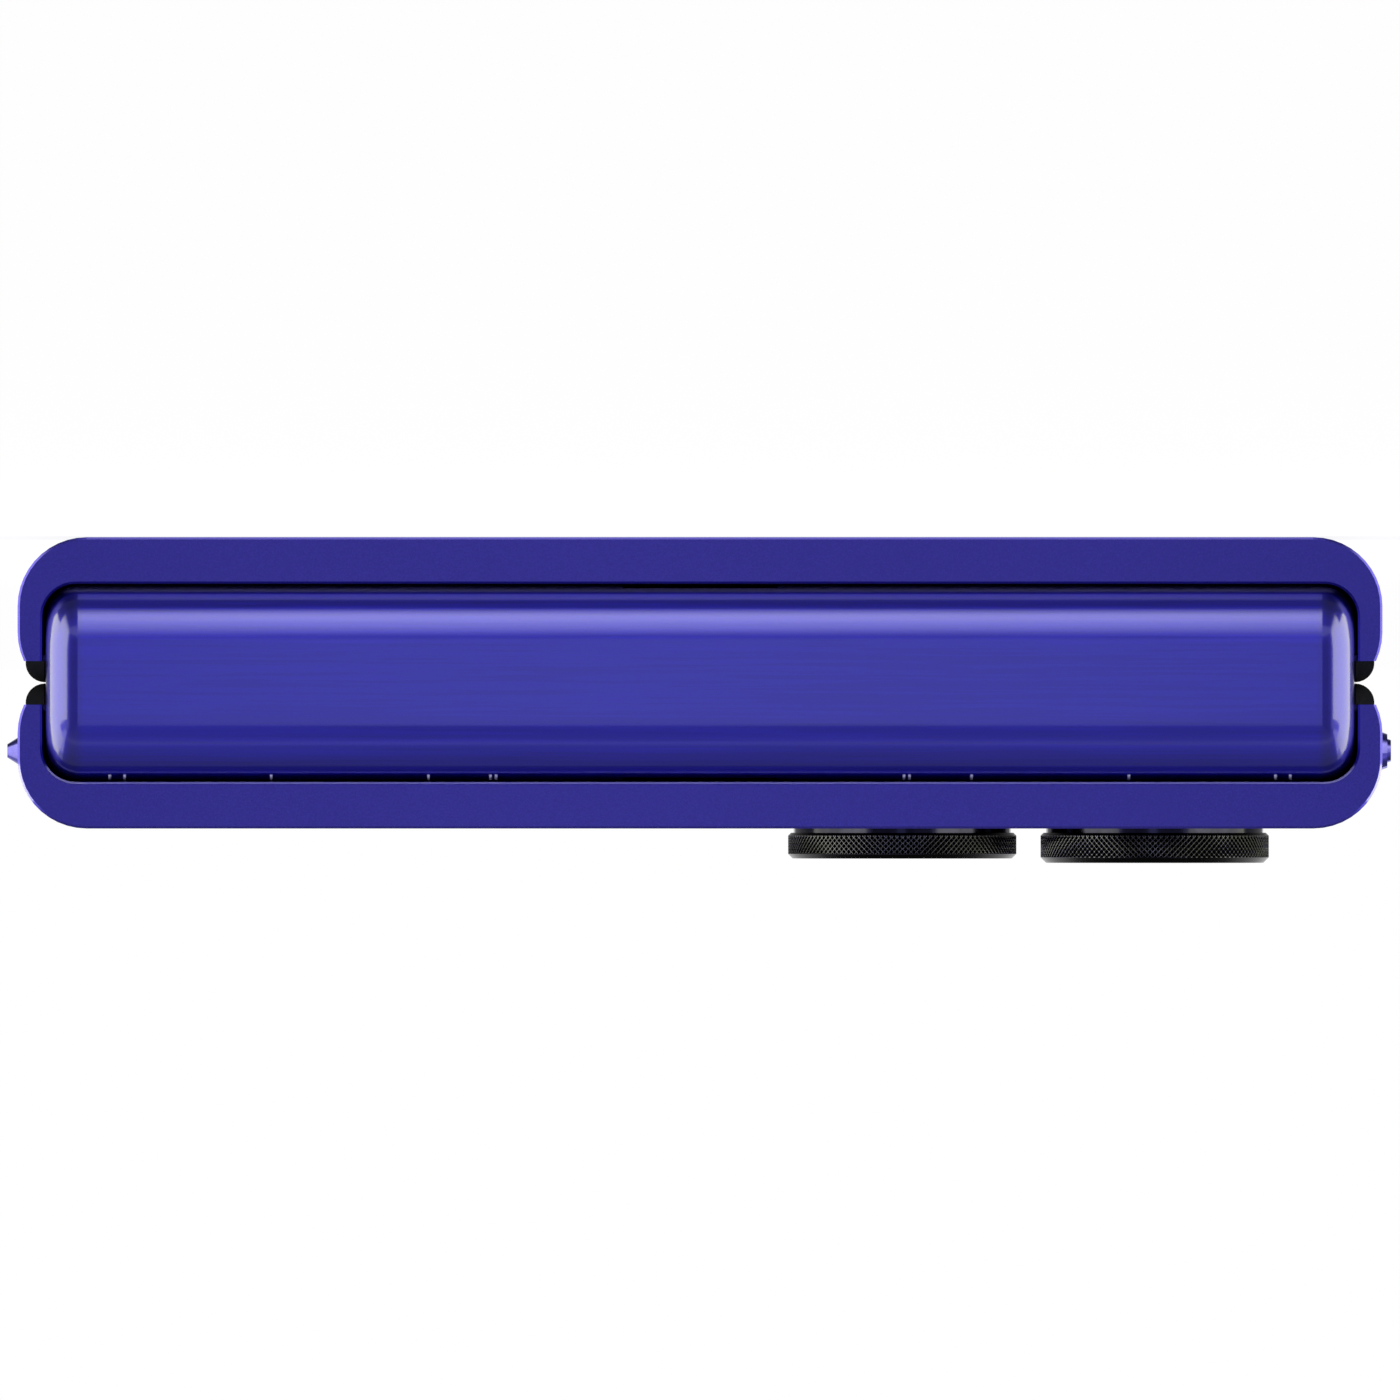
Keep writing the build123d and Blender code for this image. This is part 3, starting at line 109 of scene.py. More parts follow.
def turned(
    profile: Sequence[tuple[float, float]],
    centre: tuple[float, float, float],
    segments: int = 96,
    turn: Turn = Turn.UP,
) -> Patch:
    """Turn a profile about an axis.

    Each profile point (radius, height) becomes a circle of that radius at that height along
    the axis: centre + radius * (cos a, sin a) across the axis + height along it.

    Args:
        profile: Radius and height of each point, in millimetres.
        centre: Where the axis passes at height zero.
        segments: Points round each circle.
        turn: Direction of the axis.

    Returns:
        The patch of the turned surface.
    """
    radius, height = np.array(profile, float).T[:, :, None]
    angle = np.arange(segments)[None, :] * (2 * math.pi / segments)
    first, second = radius * np.cos(angle), radius * np.sin(angle)
    level = np.broadcast_to(height, first.shape)
    parts = (first, second, level) if turn is Turn.UP else (first, level, -second)
    return Patch(np.stack(parts, axis=2) + np.array(centre, float), wrap=True)


def shell(outer: np.ndarray, inner: np.ndarray) -> list[Patch]:
    """Close the space between two grids of equal size.

    The two grids are joined by one strip round their borders, each border point of one to
    the same point of the other.

    Args:
        outer: Grid of the outer face.
        inner: Grid of the inner face.

    Returns:
        The two faces and the strip round them.
    """
    def border(grid: np.ndarray) -> np.ndarray:
        """Return the grid's border points in order round it."""
        return np.concatenate([grid[0], grid[1:, -1], grid[-1, -2::-1], grid[-2:0:-1, 0]])

    rim = np.stack([border(outer), border(inner)], axis=0)
    return [Patch(outer), Patch(inner[:, ::-1]), Patch(rim, wrap=True)]


def bars(centres: np.ndarray, size: tuple[float, float, float]) -> list[Patch]:
    """Place equal boxes at the given centres.

    Args:
        centres: Array of boxes by three.
        size: Whole length of a box along X, Y and Z.

    Returns:
        One shell for each box: its lower and its upper face, joined round their borders.
    """
    half = np.array(size) / 2
    square = np.array([[[-1, -1], [1, -1]], [[-1, 1], [1, 1]]], float) * half[:2]
    patches: list[Patch] = []
    for centre in centres:
        low = np.dstack([square, np.full((2, 2), -half[2])]) + centre
        high = np.dstack([square, np.full((2, 2), half[2])]) + centre
        patches += shell(high, low)
    return patches


def make_piece(name: str, patches: Sequence[Patch], sharp: float = 32.0) -> bpy.types.Object:
    """Build one object from patches.

    Args:
        name: Name of the object.
        patches: The sheets it is made of. Points that meet are merged.
        sharp: Edges that turn by more than this many degrees stay sharp.

    Returns:
        The new object, at the origin.
    """
    points = np.concatenate([patch.points.reshape(-1, 3) for patch in patches]) * MM
    starts = np.cumsum([0] + [patch.points[..., 0].size for patch in patches])
    quads = np.concatenate([patch.faces(int(s)) for patch, s in zip(patches, starts)])
    mesh = bpy.data.meshes.new(name)
    mesh.from_pydata(points, [], quads.tolist())
    work = bmesh.new()
    work.from_mesh(mesh)
    bmesh.ops.remove_doubles(work, verts=work.verts, dist=MERGE_DISTANCE)
    bmesh.ops.dissolve_degenerate(work, edges=work.edges, dist=1e-8)
    bmesh.ops.recalc_face_normals(work, faces=work.faces)
    work.to_mesh(mesh)
    work.free()
    mesh.shade_smooth()
    mesh.set_sharp_from_angle(angle=math.radians(sharp))
    piece = bpy.data.objects.new(name, mesh)
    bpy.context.scene.collection.objects.link(piece)
    return piece


def ease(share: np.ndarray) -> np.ndarray:
    """Return the smooth step 3 t^2 - 2 t^3 of a share kept between 0 and 1."""
    share = np.clip(share, 0, 1)
    return share * share * (3 - 2 * share)


# ---------------------------------------------------------------- shader graph
class Flow:
    """One socket of a node tree, with arithmetic that adds Math nodes."""

    def __init__(self, graph: "Graph", socket: bpy.types.NodeSocket | None) -> None:
        """Wrap a socket of a graph, or nothing for a node without outputs."""
        self.graph = graph
        self.socket = socket

    def _math(self, operation: str, first: Any, second: Any) -> "Flow":
        """Add one Math node for two values."""
        return self.graph.node("ShaderNodeMath", {"operation": operation}, {0: first, 1: second})

    def __add__(self, other: Any) -> "Flow":
        """Return self + other."""
        return self._math("ADD", self, other)

    def __radd__(self, other: Any) -> "Flow":
        """Return other + self."""
        return self._math("ADD", other, self)

    def __sub__(self, other: Any) -> "Flow":
        """Return self - other."""
        return self._math("SUBTRACT", self, other)

    def __rsub__(self, other: Any) -> "Flow":
        """Return other - self."""
        return self._math("SUBTRACT", other, self)

    def __mul__(self, other: Any) -> "Flow":
        """Return self * other."""
        return self._math("MULTIPLY", self, other)

    def __rmul__(self, other: Any) -> "Flow":
        """Return other * self."""
        return self._math("MULTIPLY", other, self)

    def __gt__(self, other: Any) -> "Flow":
        """Return 1 where self is greater than other, else 0."""
        return self._math("GREATER_THAN", self, other)

    def wave(self) -> "Flow":
        """Return the sine of self, moved to run from 0 to 1."""
        return self._math("SINE", self, 0.0) * 0.5 + 0.5

    def cycle(self) -> "Flow":
        """Return the fraction of self, which runs from 0 to 1 again and again."""
        return self._math("FRACT", self, 0.0)

    def spread(self, low: float, high: float) -> "Flow":
        """Return self, from 0 to 1, as a value from low to high."""
        return self * (high - low) + low

    def between(self, low: float, high: float) -> "Flow":
        """Return 0 below low and 1 above high, smoothly between."""
        inputs = {0: self, 1: low, 2: high, 3: 0.0, 4: 1.0}
        return self.graph.node("ShaderNodeMapRange", {"interpolation_type": "SMOOTHSTEP"}, inputs)


class Graph:
    """A material's or the world's node tree while it is being written."""

    def __init__(self, tree: bpy.types.NodeTree) -> None:
        """Empty a node tree."""
        self.tree = tree
        tree.nodes.clear()

    def node(
        self,
        kind: str,
        settings: dict[str, Any] | None = None,
        inputs: dict[Any, Any] | None = None,
        output: int | str = 0,
    ) -> Flow:
        """Add one node.

        Args:
            kind: The node's type.
            settings: Its settings, which are made first. "stops" fills a ramp.
            inputs: Values or flows for its sockets, by number or name.
            output: Which output to return.

        Returns:
            The flow from that output.
        """
        made = self.tree.nodes.new(kind)
        for name, value in (settings or {}).items():
            if name == "stops":
                ramp = made.color_ramp.elements
                for index, (place, colour) in enumerate(value):
                    stop = ramp[index] if index < 2 else ramp.new(place)
                    stop.position, stop.color = place, (*colour, 1.0)
            else:
                setattr(made, name, value)
        for key, value in (inputs or {}).items():
            if isinstance(value, Flow):
                self.tree.links.new(value.socket, made.inputs[key])
            else:
                made.inputs[key].default_value = value
        return Flow(self, made.outputs[output] if made.outputs else None)

    def place(self, scale: float | tuple[float, float, float] = 1.0) -> Flow:
        """Return the object's own coordinates, in metres, times a scale or one for each axis."""
        scales = scale if isinstance(scale, tuple) else (scale, scale, scale)
        return self.vector("MULTIPLY", self.node("ShaderNodeTexCoord", output="Object"), scales)

    def vector(self, operation: str, first: Any, second: Any, output: int = 0) -> Flow:
        """Add one Vector Math node and return one of its outputs."""
        inputs = {0: first, 1: second}
        return self.node("ShaderNodeVectorMath", {"operation": operation}, inputs, output)

    def axes(self, vector: Flow) -> tuple[Flow, Flow, Flow]:
        """Return a vector's three numbers."""
        split = self.node("ShaderNodeSeparateXYZ", None, {0: vector}).socket.node
        return tuple(Flow(self, split.outputs[index]) for index in range(3))

    def radius(self, centre: tuple[float, float]) -> Flow:
        """Return the distance in millimetres from an upright line through a point in XY."""
        flat = self.place((1 / MM, 1 / MM, 0))
        return self.vector("DISTANCE", flat, (*centre, 0.0), 1)

    def noise(
        self, scale: Flow | float | tuple[float, float, float], detail: float = 4.0,
        rough: float = 0.55,
    ) -> Flow:
        """Return fractal noise.

        Args:
            scale: Its scale, or one for each axis, or coordinates that are already scaled.
            detail: How many finer layers it has.
            rough: How strong each finer layer is.

        Returns:
            The noise, from 0 to 1.
        """
        where = scale if isinstance(scale, Flow) else self.place(scale)
        inputs = {"Vector": where, "Scale": 1.0, "Detail": detail, "Roughness": rough}
        return self.node("ShaderNodeTexNoise", None, inputs)

    def cells(self, where: Flow, output: str = "Distance") -> Flow:
        """Return the distances or colours of scattered cells."""
        return self.node("ShaderNodeTexVoronoi", None, {"Vector": where}, output)

    def mix(self, factor: Any, first: Any, second: Any) -> Flow:
        """Blend two colours, each plain or a flow.

        Args:
            factor: Share of the second colour, from 0 to 1.
            first: Colour at 0.
            second: Colour at 1.

        Returns:
            The blended colour.
        """
        def whole(colour: Any) -> Any:
            """Give a plain colour its fourth number."""
            return colour if isinstance(colour, Flow) else (*colour, 1.0)

        inputs = {0: factor, 6: whole(first), 7: whole(second)}
        return self.node("ShaderNodeMix", {"data_type": "RGBA"}, inputs, 2)

    def bump(self, height: Flow, microns: float, over: Flow | None = None) -> Flow:
        """Raise the surface by a height.

        Args:
            height: The height, from 0 to 1.
            microns: The depth that it runs over.
            over: A relief that lies under this one.

        Returns:
            The normal of the raised surface.
        """
        inputs: dict[Any, Any] = {"Strength": 1.0, "Distance": microns * 1e-6, "Height": height}
        if over is not None:
            inputs["Normal"] = over
        return self.node("ShaderNodeBump", None, inputs)

    def surface(self, **sockets: Any) -> None:
        """Add the surface shader.

        Args:
            **sockets: Value or flow of each socket, named in words joined by underscores.
        """
        inputs: dict[str, Any] = {}
        for name, value in sockets.items():
            key = name.replace("_", " ").title().replace("Ior", "IOR")
            plain_colour = isinstance(value, tuple) and key.endswith(("Color", "Tint"))
            inputs[key] = (*value, 1.0) if plain_colour else value
        shader = self.node("ShaderNodeBsdfPrincipled", None, inputs)
        self.node("ShaderNodeOutputMaterial", None, {"Surface": shader})


# ---------------------------------------------------------------- finishes
def toned(colour: Colour, factor: float, lift: float = 0.0) -> Colour:
    """Return a colour with each part times a factor, plus a lift, and at most 1."""
    return tuple(min(1.0, factor * part + lift) for part in colour)


class Wear(Enum):
    """How the surface of a metal was worked."""

    BLASTED = "blasted"
    BRUSHED = "brushed"
    MILLED = "milled"


@dataclass(frozen=True)
class Finish:
    """A named surface. Each kind writes its own nodes in paint().

    Attributes:
        name: Name of the material.
        slot: The record's material slot that it belongs to. Not used.
    """

    name: str
    slot: str

    def paint(self, graph: Graph) -> None:
        """Write the finish's nodes."""
        raise NotImplementedError

    def material(self) -> bpy.types.Material:
        """Make the finish's material the first time that it is asked for.

        Returns:
            The material.
        """
        known = bpy.data.materials.get(self.name)
        if known is not None:
            return known
        material = bpy.data.materials.new(self.name)
        material.use_nodes = True
        self.paint(Graph(material.node_tree))
        return material


@dataclass(frozen=True)
class AnodisedMetal(Finish):
    """Dyed aluminium oxide over blasted, brushed or milled metal.

    Attributes:
        colour: The dye.
        roughness: Middle of the range that the roughness varies in.
        wear: How the metal was worked before dyeing.
        coat: Weight of the sealed surface.
        groove: Depth of the working marks, in microns.
        swell: Depth of the slower waves under brushed marks, in microns.
    """

    colour: Colour
    roughness: float = 0.3
    wear: Wear = Wear.BLASTED
    coat: float = 0.25
    groove: float = 0.5
    swell: float = 17.0

    def details(self, graph: Graph, dyed: Flow, rough: Flow) -> tuple[Flow, Flow]:
        """Return the colour and the roughness, which plain metal leaves as they are."""
        return dyed, rough

    def paint(self, graph: Graph) -> None:
        """Streak or speckle the dye, the roughness and the relief at the work's own scale.

        Args:
            graph: The material's nodes.
        """
        scale = {
            Wear.BLASTED: (9000, 9000, 9000),
            Wear.BRUSHED: (70, 4200, 4200),
            Wear.MILLED: (5200, 160, 5200),
        }[self.wear]
        grain = graph.noise(scale, 5.0, 0.6)
        fine = graph.noise(tuple(2.7 * part for part in scale), 2.0)
        cloud = graph.noise(55, 2.0)
        tone = (grain * 0.6 + fine * 0.25 + cloud * 0.15).between(0.3, 0.7)
        dark = toned(self.colour, 0.86)
        light = toned(self.colour, 1.14, 0.004)
        relief = graph.bump(grain * 0.7 + fine * 0.3, self.groove)
        if self.wear is Wear.BRUSHED:
            relief = graph.bump(graph.noise((110, 2300, 2300), 3.0, 0.65), self.swell, relief)
        rough = grain.spread(self.roughness * 0.7, self.roughness * 1.35)
        dyed, rough = self.details(graph, graph.mix(tone, dark, light), rough)
        graph.surface(
            base_color=dyed,
            metallic=1.0,
            roughness=rough,
            coat_weight=self.coat,
            coat_roughness=0.14,
            coat_ior=1.6,
            normal=relief,
        )


@dataclass(frozen=True)
class SpineMetal(AnodisedMetal):
    """Anodised metal of the spine, with a painted highlight tint at its ends, a foot painted
    paler as light in the dark gap, and small painted highlight spots.

    Attributes:
        foot: Height, in millimetres, under which the metal is rougher and painted paler,
        as painted light where the spine sinks into the dark gap.
        foot_lift_colour: Colour under that height, painted paler than the dye.
        ends: Distance along X, to both sides, beyond which the colour is less blue, so that
        the highlights on the rounded ends read whiter.
        end_highlight_tint: Colour beyond it, a painted highlight tint.
        glint_places: Places along X, the same on both sides, where the upper edge has a painted
            highlight spot.
        glint_half: Half of a highlight spot's width.
        glint_level: Height above which the spots are painted.
        glint_colour: Colour of the painted highlight spots.
    """

    foot: float = 3.0
    foot_lift_colour: Colour = (0.08, 0.075, 0.34)
    ends: float = 33.8
    end_highlight_tint: Colour = (0.009, 0.006, 0.3)
    glint_places: tuple[float, ...] = (11.06, 11.36, 14.72, 23.25, 31.20, 32.00)
    glint_half: float = 0.05
    glint_level: float = 12.82
    glint_colour: Colour = (0.62, 0.62, 1.0)

    def details(self, graph: Graph, dyed: Flow, rough: Flow) -> tuple[Flow, Flow]:
        """Paint light: tint the ends for whiter highlights, pale the foot and add highlight
        spots.

        Args:
            graph: The material's nodes.
            dyed: The colour so far.
            rough: The roughness so far.

        Returns:
            The new colour and roughness.
        """
        across, _, height = graph.axes(graph.place(1 / MM))
        squared = across * across
        # Painted highlight tint: the rounded ends are less blue, so the highlights on them read
        # whiter.
        highlight_tinted_ends = squared.between((self.ends - 0.5) ** 2, (self.ends + 0.3) ** 2)
        dyed = graph.mix(highlight_tinted_ends, dyed, self.end_highlight_tint)
        # Painted highlights: small bright spots on the upper edge, down in the dark gap, the same
        # on both sides.
        upper = height.between(self.glint_level, self.glint_level + 0.1)
        for place in self.glint_places:
            low, high = place - self.glint_half, place + self.glint_half
            begun = squared.between((place - 2 * self.glint_half) ** 2, low**2)
            passed = squared.between(high**2, (place + 2 * self.glint_half) ** 2)
            glint_mask = begun * (1 - passed) * upper
            dyed = graph.mix(glint_mask, dyed, self.glint_colour)
            rough = rough + glint_mask * 0.5
        # Painted light: the foot, where the spine sinks into the dark gap, is painted paler and
        # made rougher.
        foot_lift = 1 - height.between(self.foot - 0.1, self.foot + 0.1)
        return graph.mix(foot_lift, dyed, self.foot_lift_colour), rough + foot_lift * 0.3


@dataclass(frozen=True)
class EdgeGlintMetal(AnodisedMetal):
    """Anodised metal with a painted highlight line along one edge.

    Attributes:
        depths: Where the painted highlight line begins and ends along Y, in millimetres.
        heights: Where it begins and ends along Z.
        edge_glint_colour: Colour of the painted highlight line.
    """

    depths: tuple[float, float] = (-41.695, -41.6)
    heights: tuple[float, float] = (12.2, 14.4)
    edge_glint_colour: Colour = (0.29, 0.28, 0.8)

    def details(self, graph: Graph, dyed: Flow, rough: Flow) -> tuple[Flow, Flow]:
        """Paint a highlight line between the two depths and the two heights.

        Args:
            graph: The material's nodes.
            dyed: The colour so far.
            rough: The roughness so far.

        Returns:
            The new colour and roughness.
        """
        (near, far), (low, high) = self.depths, self.heights
        _, depth, height = graph.axes(graph.place(1 / MM))
        # Painted highlight: a bright line along the mouth's edge, as if it caught the light.
        edge_glint = depth.between(near, near + 0.015) * (1 - depth.between(far - 0.015, far))
        edge_glint = edge_glint * height.between(low, low + 0.4) * (1 - height.between(high - 0.2, high))
        return graph.mix(edge_glint, dyed, self.edge_glint_colour), rough + edge_glint * 0.3


@dataclass(frozen=True)
class Elastomer(Finish):
    """Soft black rubber with a fine moulded grain."""

    shade: float = 0.005

    def paint(self, graph: Graph) -> None:
        """Pebble the surface with small cells and dust it unevenly.

        Args:
            graph: The material's nodes.
        """
        pebble = graph.cells(graph.place(7000))
        dust = graph.noise(420, 5.0)
        light = (self.shade * 2.3, self.shade * 2.3, self.shade * 2.5)
        graph.surface(
            base_color=graph.mix(dust.between(0.45, 0.8), (self.shade,) * 3, light),
            roughness=dust.spread(0.5, 0.75),
            specular_ior_level=0.16,
            specular_tint=(0.5, 0.55, 1.0),
            normal=graph.bump(pebble, 9.0),
        )


@dataclass(frozen=True)
class EtchedGlass(Finish):
    """Back glass etched to a satin, over a dyed film."""

    colour: Colour = (0.10, 0.08, 0.42)

    def paint(self, graph: Graph) -> None:
        """Glitter the film faintly and blur the surface with a fine etch.

        Args:
            graph: The material's nodes.
        """
        etch = graph.noise(12000, 3.0, 0.7)
        film = graph.noise((38, 22, 38), 3.0)
        spark = graph.cells(graph.place(9000), output="Color")
        glint = graph.axes(spark)[0].between(0.9, 1.0)
        dark = toned(self.colour, 0.8)
        light = toned(self.colour, 1.25, 0.01)
        dyed = graph.mix(film.between(0.35, 0.65), dark, light)
        graph.surface(
            base_color=graph.mix(glint * 0.35, dyed, (0.42, 0.38, 0.85)),
            metallic=glint.spread(0.35, 0.8),
            roughness=etch.spread(0.3, 0.46),
            coat_weight=0.25,
            coat_roughness=0.32,
            normal=graph.bump(etch, 1.1),
        )


@dataclass(frozen=True)
class BlackGlass(Finish):
    """Polished glass over a black print or a dark screen.

    Attributes:
        tint: Colour of the print or the screen.
        soft: Least roughness of the gloss.
        pixels: Pixels to a metre.
    """

    tint: Colour = (0.004, 0.004, 0.006)
    soft: float = 0.04
    pixels: float = 14000

    def paint(self, graph: Graph) -> None:
        """Leave faint wiped smears in the gloss and a trace of pixel rows below it.

        Args:
            graph: The material's nodes.
        """
        smear = graph.noise((65, 240, 65), 6.0, 0.62)
        across, along, _ = graph.axes(graph.place((self.pixels, self.pixels, 1)))
        pixel = (across * 2 * math.pi).wave() * (along * 2 * math.pi).wave()
        lit = toned(self.tint, 2.2, 0.002)
        graph.surface(
            base_color=graph.mix(pixel, self.tint, lit),
            roughness=smear.between(0.35, 0.75).spread(self.soft, self.soft + 0.05),
            ior=1.45,
            normal=graph.bump(smear, 0.04),
        )


@dataclass(frozen=True)
class TurnedBlack(Finish):
    """Black metal turned on a lathe about an upright axis.

    Attributes:
        centre: Where the axis stands in XY, in millimetres.
        shade: Brightness of the black.
        roughness: Middle of the range that the roughness varies in.
        rim: Where it isn't 0, edges that stand out that far from the axis, such as the
            ridges of a knurl, get a painted highlight in patches.
        ridge_glint: Colour of the painted highlight on those edges.
        cool: How much bluer than grey the black is.
    """

    centre: tuple[float, float]
    shade: float
    roughness: float = 0.2
    rim: float = 0.0
    ridge_glint: Colour = (0.09, 0.091, 0.155)
    cool: float = 1.0

    def paint(self, graph: Graph) -> None:
        """Ring the surface with tool marks about its own axis, and paint highlights on ridge tops
        where rim is set.

        Args:
            graph: The material's nodes.
        """
        out = graph.radius(self.centre)
        marks = (out * 78.0).wave()
        wander = graph.noise(900, 4.0)
        dark = (self.shade * 0.8, self.shade * 0.8, self.shade * self.cool)
        light = (self.shade * 1.3, self.shade * 1.3, self.shade * self.cool * 1.6)
        tone = graph.mix(wander.between(0.35, 0.7), dark, light)
        # Painted highlight: ridge tops at the rim are coloured brighter, in patches, as if
        # catching the light.
        if self.rim:
            glint_mask = out.between(self.rim - 0.022, self.rim - 0.002)
            shine = graph.noise(330, 1.0).between(0.38, 0.62).spread(0.3, 1.0)
            tone = graph.mix(glint_mask * shine, tone, self.ridge_glint)
        polish = marks * 0.4 + wander * 0.6
        graph.surface(
            base_color=tone,
            metallic=1.0,
            roughness=polish.spread(self.roughness * 0.75, self.roughness * 1.3),
            specular_ior_level=0.6,
            normal=graph.bump(marks * 0.5 + wander * 0.5, 0.8),
        )


@dataclass(frozen=True)
class ClearWindow(Finish):
    """Coated lens window."""

    def paint(self, graph: Graph) -> None:
        """Let the lens show through, with a trace of lint in the gloss.

        Args:
            graph: The material's nodes.
        """
        lint = graph.noise(800, 6.0, 0.7).between(0.6, 0.9)
        graph.surface(
            base_color=graph.mix(lint, (0.93, 0.95, 0.97), (0.82, 0.84, 0.88)),
            roughness=lint.spread(0.0, 0.01),
            ior=1.45,
            transmission_weight=1.0,
        )


@dataclass(frozen=True)
class CoatedElement(Finish):
    """Front element of a lens, with the violet and green of its coating."""

    centre: tuple[float, float] = (0.0, 0.0)

    def paint(self, graph: Graph) -> None:
        """Shift the coating's colour from the middle outward and toward glancing views.

        Args:
            graph: The material's nodes.
        """
        edge = graph.node("ShaderNodeLayerWeight", None, {"Blend": 0.35}, "Facing")
        out = graph.radius(self.centre).between(0.3, 1.9)
        inner = graph.mix(edge, (0.02, 0.01, 0.09), (0.02, 0.09, 0.07))
        speck = graph.noise(2600, 3.0)
        graph.surface(
            base_color=graph.mix(out, inner, (0.006, 0.004, 0.02)),
            metallic=0.6,
            roughness=speck.spread(0.02, 0.07),
            coat_weight=1.0,
            coat_roughness=0.02,
        )


@dataclass(frozen=True)
class Steel(Finish):
    """Stainless or gold-plated metal with fine drawn lines."""

    colour: Colour = (0.52, 0.52, 0.53)
    along: tuple[float, float, float] = (300, 6000, 6000)
    roughness: float = 0.3

    def paint(self, graph: Graph) -> None:
        """Draw lines along the part and stain them a little.

        Args:
            graph: The material's nodes.
        """
        line = graph.noise(self.along, 4.0)
        stain = graph.noise(260, 4.0)
        dark = toned(self.colour, 0.72)
        graph.surface(
            base_color=graph.mix(stain.between(0.3, 0.7), dark, self.colour),
            metallic=1.0,
            roughness=line.spread(self.roughness * 0.7, self.roughness * 1.4),
            normal=graph.bump(line, 1.2),
        )


@dataclass(frozen=True)
class MouldedPlastic(Finish):
    """Filled plastic with a fine spark-eroded texture."""

    colour: Colour = (0.025, 0.025, 0.027)
    roughness: float = 0.48

    def paint(self, graph: Graph) -> None:
        """Texture the surface and vary its tone slightly.

        Args:
            graph: The material's nodes.
        """
        spark = graph.noise(6500, 4.0, 0.65)
        flow = graph.noise(140, 3.0)
        light = toned(self.colour, 1.3, 0.003)
        graph.surface(
            base_color=graph.mix(flow.between(0.3, 0.7), self.colour, light),
            roughness=spark.spread(self.roughness * 0.8, self.roughness * 1.25),
            normal=graph.bump(spark, 2.5),
        )


@dataclass(frozen=True)
class SolderMask(Finish):
    """Circuit board with tracks under a green-black mask and gilded pads.

    Attributes:
        pitch: Distance between tracks, in metres.
    """

    pitch: float = 0.00055

    def paint(self, graph: Graph) -> None:
        """Run tracks along a square net and scatter pads on it.

        Args:
            graph: The material's nodes.
        """
        region = 2 * self.pitch
        net = graph.vector("SNAP", graph.place((1, 1, 0)), (region, region, 1.0))
        pick = graph.noise(graph.vector("MULTIPLY", net, (9100, 7300, 0)), 0.0)
        across, along, _ = graph.axes(graph.place((1 / self.pitch, 1 / self.pitch, 1)))
        lengthways = (pick > 0.5) * (across.cycle() > 0.45)
        tracks = lengthways + (0.5 - pick > 0) * (along.cycle() > 0.45)
        pads = 1 - graph.cells(graph.place((620, 620, 0))).between(0.16, 0.2)
        mask = graph.mix(tracks, (0.004, 0.03, 0.016), (0.01, 0.085, 0.045))
        graph.surface(
            base_color=graph.mix(pads, mask, (0.72, 0.5, 0.18)),
            metallic=pads,
            roughness=pads.spread(0.32, 0.24),
            normal=graph.bump(tracks + pads, 12.0),
        )


@dataclass(frozen=True)
class CellFoil(Finish):
    """Laminated foil of a battery pouch."""

    def paint(self, graph: Graph) -> None:
        """Crease the foil softly and dull it in patches.

        Args:
            graph: The material's nodes.
        """
        crease = graph.noise((110, 75, 110), 5.0, 0.6)
        grain = graph.noise(5200, 2.0)
        graph.surface(
            base_color=graph.mix(crease.between(0.3, 0.7), (0.2, 0.2, 0.21), (0.34, 0.34, 0.35)),
            metallic=0.9,
            roughness=grain.spread(0.3, 0.45),
            normal=graph.bump(crease * 0.9 + grain * 0.1, 60.0),
        )


@dataclass(frozen=True)
class WoundCopper(Finish):
    """Flat coil of enamelled wire.

    Attributes:
        centre: Middle of the coil in XY, in millimetres.
        pitch: Distance between turns, in millimetres.
    """

    centre: tuple[float, float] = (0.0, 0.0)
    pitch: float = 0.62

    def paint(self, graph: Graph) -> None:
        """Round the turns of wire about the coil's middle.

        Args:
            graph: The material's nodes.
        """
        turn = (graph.radius(self.centre) * (2 * math.pi / self.pitch)).wave()
        stain = graph.noise(350, 4.0)
        copper = graph.mix(stain.between(0.3, 0.7), (0.5, 0.22, 0.09), (0.74, 0.36, 0.16))
        graph.surface(
            base_color=graph.mix(turn.between(0.0, 0.3), (0.05, 0.02, 0.01), copper),
            metallic=0.95,
            roughness=stain.spread(0.2, 0.34),
            normal=graph.bump(turn, 90.0),
        )


@dataclass(frozen=True)
class FlexFilm(Finish):
    """Amber film with copper tracks along it.

    Attributes:
        pitch: Distance between tracks, in metres.
    """

    pitch: float = 0.00045

    def paint(self, graph: Graph) -> None:
        """Rule tracks across the film's width.

        Args:
            graph: The material's nodes.
        """
        across = graph.axes(graph.place((1 / self.pitch, 1, 1)))[0]
        track = across.cycle() > 0.42
        haze = graph.noise(500, 3.0)
        film = graph.mix(haze.between(0.3, 0.7), (0.24, 0.1, 0.015), (0.36, 0.16, 0.03))
        graph.surface(
            base_color=graph.mix(track * 0.7, film, (0.56, 0.26, 0.1)),
            metallic=track * 0.4,
            roughness=haze.spread(0.28, 0.42),
            normal=graph.bump(track, 14.0),
        )


